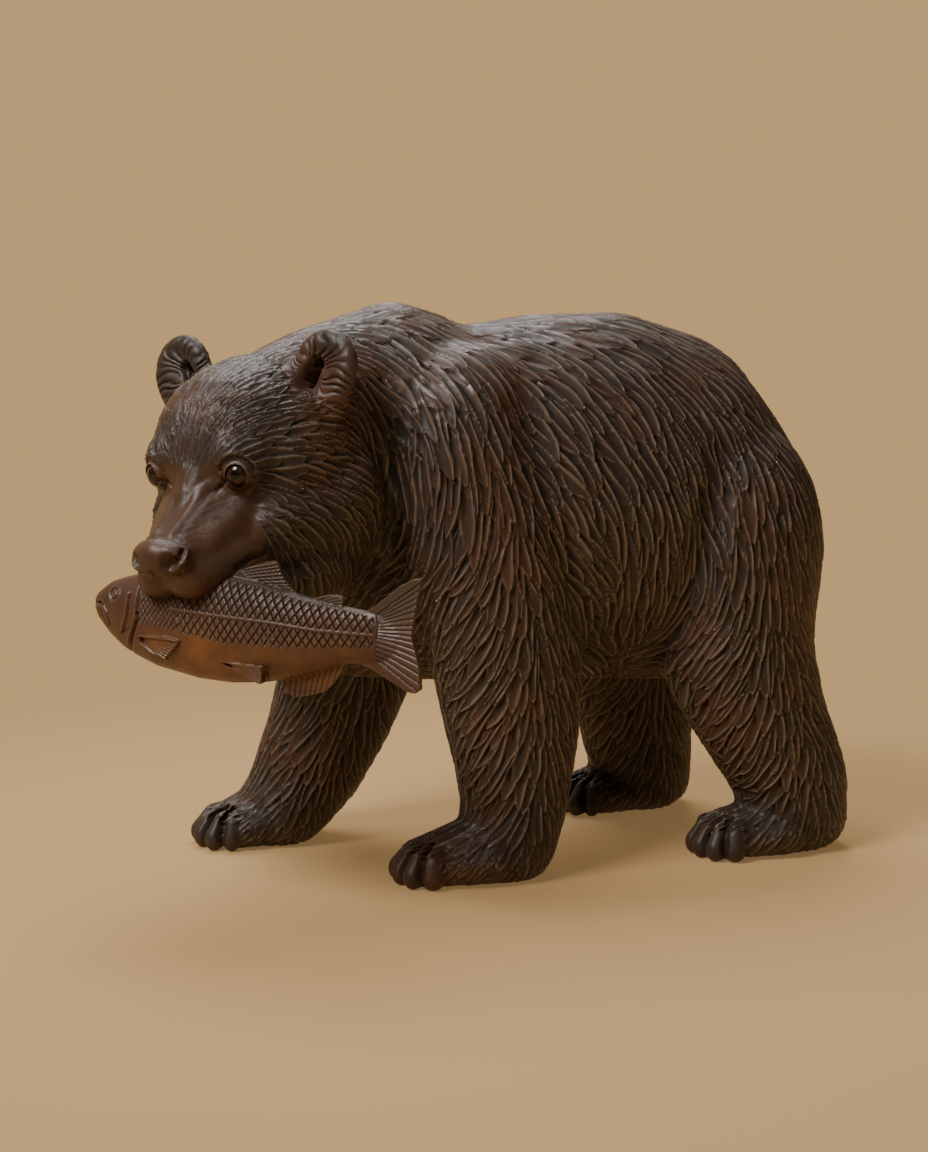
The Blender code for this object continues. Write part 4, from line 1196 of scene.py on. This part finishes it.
def eyeball(name, side):
    deselect()
    gaze = eye_gaze(side)
    bpy.ops.mesh.primitive_uv_sphere_add(
        segments=48, ring_count=36, radius=EYE_RADIUS * STEP, location=eye_place(side) * STEP,
        rotation=gaze.to_track_quat("Z", "Y").to_euler())
    ball = bpy.context.object
    ball.name = name
    ball.data.name = name
    bpy.ops.object.transform_apply(location=True, rotation=True, scale=True)
    bpy.ops.object.shade_smooth()
    x, y, out = on_plane(places_of(ball), EYE_PLANES[side])
    note(ball, "off_axis", np.where(out > 0, np.hypot(x, y) / EYE_RADIUS, 1.0))
    return ball


eyes = {side: eyeball(name, side) for name, side in (("eye_left_glass", 1), ("eye_right_glass", -1))}

# %% [markdown]
# ## Into place
#
# So far the figure stands where it was drawn. The points are moved, and not the objects, by the
# shift that was found at the start, so every origin stays at the world's origin. Then the skin is
# shaded smooth, except at the crisp rims of the cuts, which are sharper than a set angle.

# %% Put every piece in its place
pieces = [bear, salmon, eyes[1], eyes[-1]]
for piece in pieces:
    put_places(piece, places_of(piece) + np.array(SHIFT))
CRISP_FROM = ((bear, 58), (salmon, 36))
for piece, angle in CRISP_FROM:
    take(piece)
    bpy.ops.object.shade_smooth_by_angle(angle=math.radians(angle))

# %% [markdown]
# ## Shader maths as plain expressions
#
# A material is a chain of sums. Wrapping a socket in a small class lets the sums be written as
# Python expressions, and each one adds its Math node.

# %% A signal and its sums


class Signal:
    def __init__(self, finish, socket):
        self.finish = finish
        self.socket = socket

    def sum(self, operation, a, b):
        return self.finish.node("ShaderNodeMath", {"operation": operation}, {0: a, 1: b})

    def __add__(self, other):
        return self.sum("ADD", self, other)

    def __radd__(self, other):
        return self.sum("ADD", other, self)

    def __sub__(self, other):
        return self.sum("SUBTRACT", self, other)

    def __rsub__(self, other):
        return self.sum("SUBTRACT", other, self)

    def __mul__(self, other):
        return self.sum("MULTIPLY", self, other)

    def __rmul__(self, other):
        return self.sum("MULTIPLY", other, self)


# %% A finish and its nodes


class Finish:
    def __init__(self, name, roughness=0.5):
        self.material = bpy.data.materials.new(name)
        self.material.use_nodes = True
        self.tree = self.material.node_tree
        self.shader = self.tree.nodes["Principled BSDF"]
        self.shader.inputs["Roughness"].default_value = roughness

    def node(self, kind, settings=None, sockets=None, out=0):
        node = self.tree.nodes.new(kind)
        for key, value in (settings or {}).items():
            setattr(node, key, value)
        for key, value in (sockets or {}).items():
            self.feed(node.inputs[key], value)
        return Signal(self, node.outputs[out])

    def feed(self, socket, value):
        if isinstance(value, Signal):
            self.tree.links.new(value.socket, socket)
        else:
            socket.default_value = value

    def set(self, **sockets):
        for name, value in sockets.items():
            self.feed(self.shader.inputs[name.replace("_", " ")], value)

    def clamp(self, value, low=0.0, high=1.0):
        return self.node("ShaderNodeClamp", {}, {0: value, 1: low, 2: high})

    def blend(self, mask, a, b):
        return self.node("ShaderNodeMix", {"data_type": "RGBA"}, {0: mask, 6: a, 7: b}, out=2)

    def step(self, value, low, high):
        return self.node("ShaderNodeMapRange", {"interpolation_type": "SMOOTHSTEP"},
                         {0: value, 1: low, 2: high})

    def attribute(self, name):
        return self.node("ShaderNodeAttribute", {"attribute_name": name}, {}, out=2)

    def place(self):
        return self.node("ShaderNodeTexCoord", {}, {}, out=3)

    def noise(self, scale, detail=4.0, roughness=0.6):
        return self.node("ShaderNodeTexNoise", {}, {
            "Vector": self.place(), "Scale": scale, "Detail": detail, "Roughness": roughness})


# %% [markdown]
# ## The bear's wood
#
# The real wood is stained nearly black, waxed and rubbed. Three things show: patches of brown in
# the stain, dark hollows and paler ridges. The dark hollows are partly stain pooled in the cuts and
# partly painted shade, and the larger recesses get painted shade; the paler ridges are partly wear
# and partly a painted highlight. The hollows and ridges come from the values measured above, so the
# finish follows the carving exactly. The muzzle is rubbed browner than the coat.

# %% The bear's wood
wood = Finish("dark_carved_wood", 0.42)
cut = wood.attribute("cut")
relief = wood.attribute("relief")
polish = wood.attribute("polish")
# ridge marks a painted highlight on the ridges, partly wear; hollow marks painted shade in the hollows, partly
# pooled stain.
ridge = wood.step(relief, 0.05, 0.40)
hollow = wood.step(0.0 - relief, 0.02, 0.35)
# deep marks the larger recesses, which get painted shade; low_part marks the bottoms of the gouge channels, painted
# darker as shade and pooled stain.
deep = wood.step(0.0 - wood.attribute("deep"), 0.25, 1.6)
low_part = wood.step(0.0 - cut, -0.05, 0.4)
patches = wood.step(wood.noise(13.0), 0.47, 0.64)
mottle = wood.noise(60.0, 5.0)
fine = wood.noise(420.0, 5.0)
ground = wood.blend(patches, (0.034, 0.0215, 0.0160, 1), (0.076, 0.0300, 0.0165, 1))
ground = wood.blend(wood.step(mottle, 0.45, 0.75) * 0.5, ground, (0.050, 0.032, 0.023, 1))
# The pale ridge colour is partly wear and partly a painted highlight.
worn_and_highlit = wood.blend(ridge * 0.85, ground, (0.185, 0.135, 0.102, 1))
smooth = wood.blend(patches, (0.066, 0.032, 0.018, 1), (0.118, 0.052, 0.024, 1))
smooth = wood.blend(wood.step(mottle, 0.40, 0.70), smooth, (0.092, 0.044, 0.023, 1))
# This carries the painted highlight of the ridges over the coat, with the browner muzzle.
worn_highlit_coat_and_muzzle = wood.blend(polish * 0.85, worn_and_highlit, smooth)
# Painted shade, partly pooled stain: hollows, gouge channels and larger recesses go nearly black.
stain_and_shade = wood.clamp(hollow * 0.85 + low_part * 0.35 + deep * 0.8)
wood.set(Base_Color=wood.blend(stain_and_shade, worn_highlit_coat_and_muzzle, (0.007, 0.0045, 0.0035, 1)))
rough = 0.49 + hollow * 0.20 - ridge * 0.10 - polish * 0.04 + (fine - 0.5) * 0.25
wood.set(Roughness=wood.clamp(rough, 0.2, 0.9))
wood.shader.inputs["Specular IOR Level"].default_value = 0.5
grain = wood.node("ShaderNodeBump", {}, {
    "Strength": 0.5, "Distance": 0.0005, "Height": fine * 0.6 + mottle})
wood.set(Normal=grain)

# %% [markdown]
# ## The salmon's wood
#
# The salmon has a redder stain, with a honey patch on the belly and a greyer back. The cuts between
# the scales, which their own value marks, and the hollows are darkened: partly stain, partly painted shade.

# %% The salmon's wood
fish_wood = Finish("red_brown_carved_wood", 0.4)
lines = 0.0 - fish_wood.attribute("cut")
warm = fish_wood.attribute("warm")
crown = fish_wood.attribute("crown")
relief = fish_wood.attribute("relief")
patches = fish_wood.step(fish_wood.noise(26.0), 0.4, 0.7)
blotches = fish_wood.step(fish_wood.noise(75.0, 3.0), 0.35, 0.68)
fine = fish_wood.noise(420.0, 5.0)
ground = fish_wood.blend(patches, (0.068, 0.031, 0.020, 1), (0.100, 0.042, 0.023, 1))
ground = fish_wood.blend(crown * 0.75, ground, (0.052, 0.038, 0.029, 1))
ground = fish_wood.blend(warm * (0.35 + 0.65 * blotches), ground, (0.235, 0.092, 0.026, 1))
# The paler colour on raised scales and ridges is a painted highlight.
ground = fish_wood.blend(fish_wood.step(relief, 0.03, 0.30) * 0.6, ground, (0.190, 0.120, 0.078, 1))
# Painted shade, partly pooled stain: the scale cuts and hollows go nearly black.
stain_and_shade = fish_wood.clamp(lines * 0.60 + fish_wood.step(0.0 - relief, 0.05, 0.45) * 0.6)
fish_wood.set(Base_Color=fish_wood.blend(stain_and_shade, ground, (0.012, 0.007, 0.005, 1)))
fish_wood.set(Roughness=0.42 + stain_and_shade * 0.2 + (fine - 0.5) * 0.25)
fish_wood.set(Normal=fish_wood.node("ShaderNodeBump", {}, {
    "Strength": 0.3, "Distance": 0.0002, "Height": fine}))

# %% [markdown]
# ## The eyes' gloss
#
# Dark brown lacquer: a black pupil, a brown iris and a darker rim, under a thin clear coat that
# gives the sharp highlight.

# %% The eyes' gloss
gloss = Finish("brown_eye_gloss", 0.10)
off_axis = gloss.attribute("off_axis")
iris = gloss.blend(gloss.step(off_axis, 0.30, 0.38), (0.004, 0.003, 0.003, 1), (0.034, 0.0135, 0.0075, 1))
gloss.set(Base_Color=gloss.blend(gloss.step(off_axis, 0.56, 0.68), iris, (0.012, 0.007, 0.005, 1)))
gloss.shader.inputs["Specular IOR Level"].default_value = 0.3
gloss.shader.inputs["Coat Weight"].default_value = 0.4
gloss.shader.inputs["Coat Roughness"].default_value = 0.03

# %% [markdown]
# ## Dress the pieces
#
# Each finished piece wears its finish, hangs from the root's empty and takes the place of the plain
# solid that it was modelled on, which is hidden.

# %% Dress the pieces
for piece, finish, node, slot in (
        (bear, wood, "bear", "bear_wood"), (salmon, fish_wood, "salmon", "salmon_wood"),
        (eyes[1], gloss, "eye_left", "eye_gloss"), (eyes[-1], gloss, "eye_right", "eye_gloss")):
    piece.data.materials.clear()
    piece.data.materials.append(finish.material)
    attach(piece, "root")
    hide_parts(node)
    print(piece.name, "stands for", node)

# %% [markdown]
# ## The studio
#
# One sheet of paper runs under the figure and curves up behind it, so there is no horizon. Far
# from the figure the paper glows evenly in its own colour, which hides where the lamps fall off.

# %% The paper
BACKDROP = (0.62, 0.39, 0.165, 1)
deselect()
bpy.ops.mesh.primitive_grid_add(x_subdivisions=60, y_subdivisions=2, size=1.0, location=(0, 0, 0))
paper = bpy.context.object
paper.name = "studio_paper"
spots = np.zeros(len(paper.data.vertices) * 3)
paper.data.vertices.foreach_get("co", spots)
spots = spots.reshape(-1, 3)
run = (spots[:, 0] + 0.5) * 9.0
flat_run, bend = 4.4, 1.2
turn = np.clip((run - flat_run) / bend, 0.0, math.pi / 2)
spots[:, 2] = bend * (1.0 - np.cos(turn)) + np.clip(run - flat_run - bend * math.pi / 2, 0.0, None)
spots[:, 0] = 1.8 - np.minimum(run, flat_run) - bend * np.sin(turn)
spots[:, 1] *= 9.0
paper.data.vertices.foreach_set("co", spots.ravel())
paper.data.update()
take(paper)
bpy.ops.object.mode_set(mode="EDIT")
bpy.ops.mesh.select_all(action="SELECT")
bpy.ops.mesh.flip_normals()
bpy.ops.object.mode_set(mode="OBJECT")
bpy.ops.object.shade_smooth()
sheet = Finish("warm_paper", 0.9)
sheet.set(Base_Color=(0.59, 0.375, 0.175, 1))
sheet.shader.inputs["Specular IOR Level"].default_value = 0.1
reach = sheet.node("ShaderNodeVectorMath", {"operation": "LENGTH"}, {0: sheet.place()}, out=1)
glow = sheet.node("ShaderNodeEmission", {}, {"Color": BACKDROP, "Strength": 1.0})
even = 0.28 + 0.72 * sheet.step(reach, 0.27, 0.55)
mixed = sheet.node("ShaderNodeMixShader", {}, {0: even, 1: Signal(sheet, sheet.shader.outputs[0]), 2: glow})
sheet.feed(sheet.tree.nodes["Material Output"].inputs["Surface"], mixed)
paper.data.materials.append(sheet.material)

# %% The lamps


def lamp(name, place, aim, size, power, colour=(1.0, 1.0, 1.0)):
    deselect()
    bpy.ops.object.light_add(type="AREA", location=place)
    light = bpy.context.object
    light.name = name
    light.rotation_euler = (Vector(aim) - Vector(place)).to_track_quat("-Z", "Y").to_euler()
    light.data.shape = "SQUARE"
    light.data.size = size
    light.data.energy = power
    light.data.color = colour
    return light


lamp("key_softbox", (0.55, -1.35, 1.75), (0, -0.05, 0.12), 0.75, 42.0, (1.0, 0.96, 0.90))
lamp("top_softbox", (-0.85, 0.15, 1.9), (0, 0, 0.15), 1.1, 30.0, (0.95, 0.97, 1.0))
world = bpy.data.worlds.new("studio")
bpy.context.scene.world = world
world.use_nodes = True
world.node_tree.nodes["Background"].inputs["Color"].default_value = (0.62, 0.50, 0.36, 1)
world.node_tree.nodes["Background"].inputs["Strength"].default_value = 0.17

# %% The camera
SENSOR = 36.0
FOCAL_PIXELS = 2328.0
FRAME_PIXELS = 1152.0
camera_at = (Vector((1188.71, -432.66, 352.0)) + SHIFT) * STEP
look_at = (Vector((0.0, 0.0, 154.0)) + SHIFT) * STEP
deselect()
bpy.ops.object.camera_add(
    location=camera_at, rotation=(look_at - camera_at).to_track_quat("-Z", "Y").to_euler())
camera = bpy.context.object
camera.data.sensor_width = SENSOR
camera.data.lens = SENSOR * FOCAL_PIXELS / FRAME_PIXELS
camera.data.clip_start = 0.01
bpy.context.scene.camera = camera
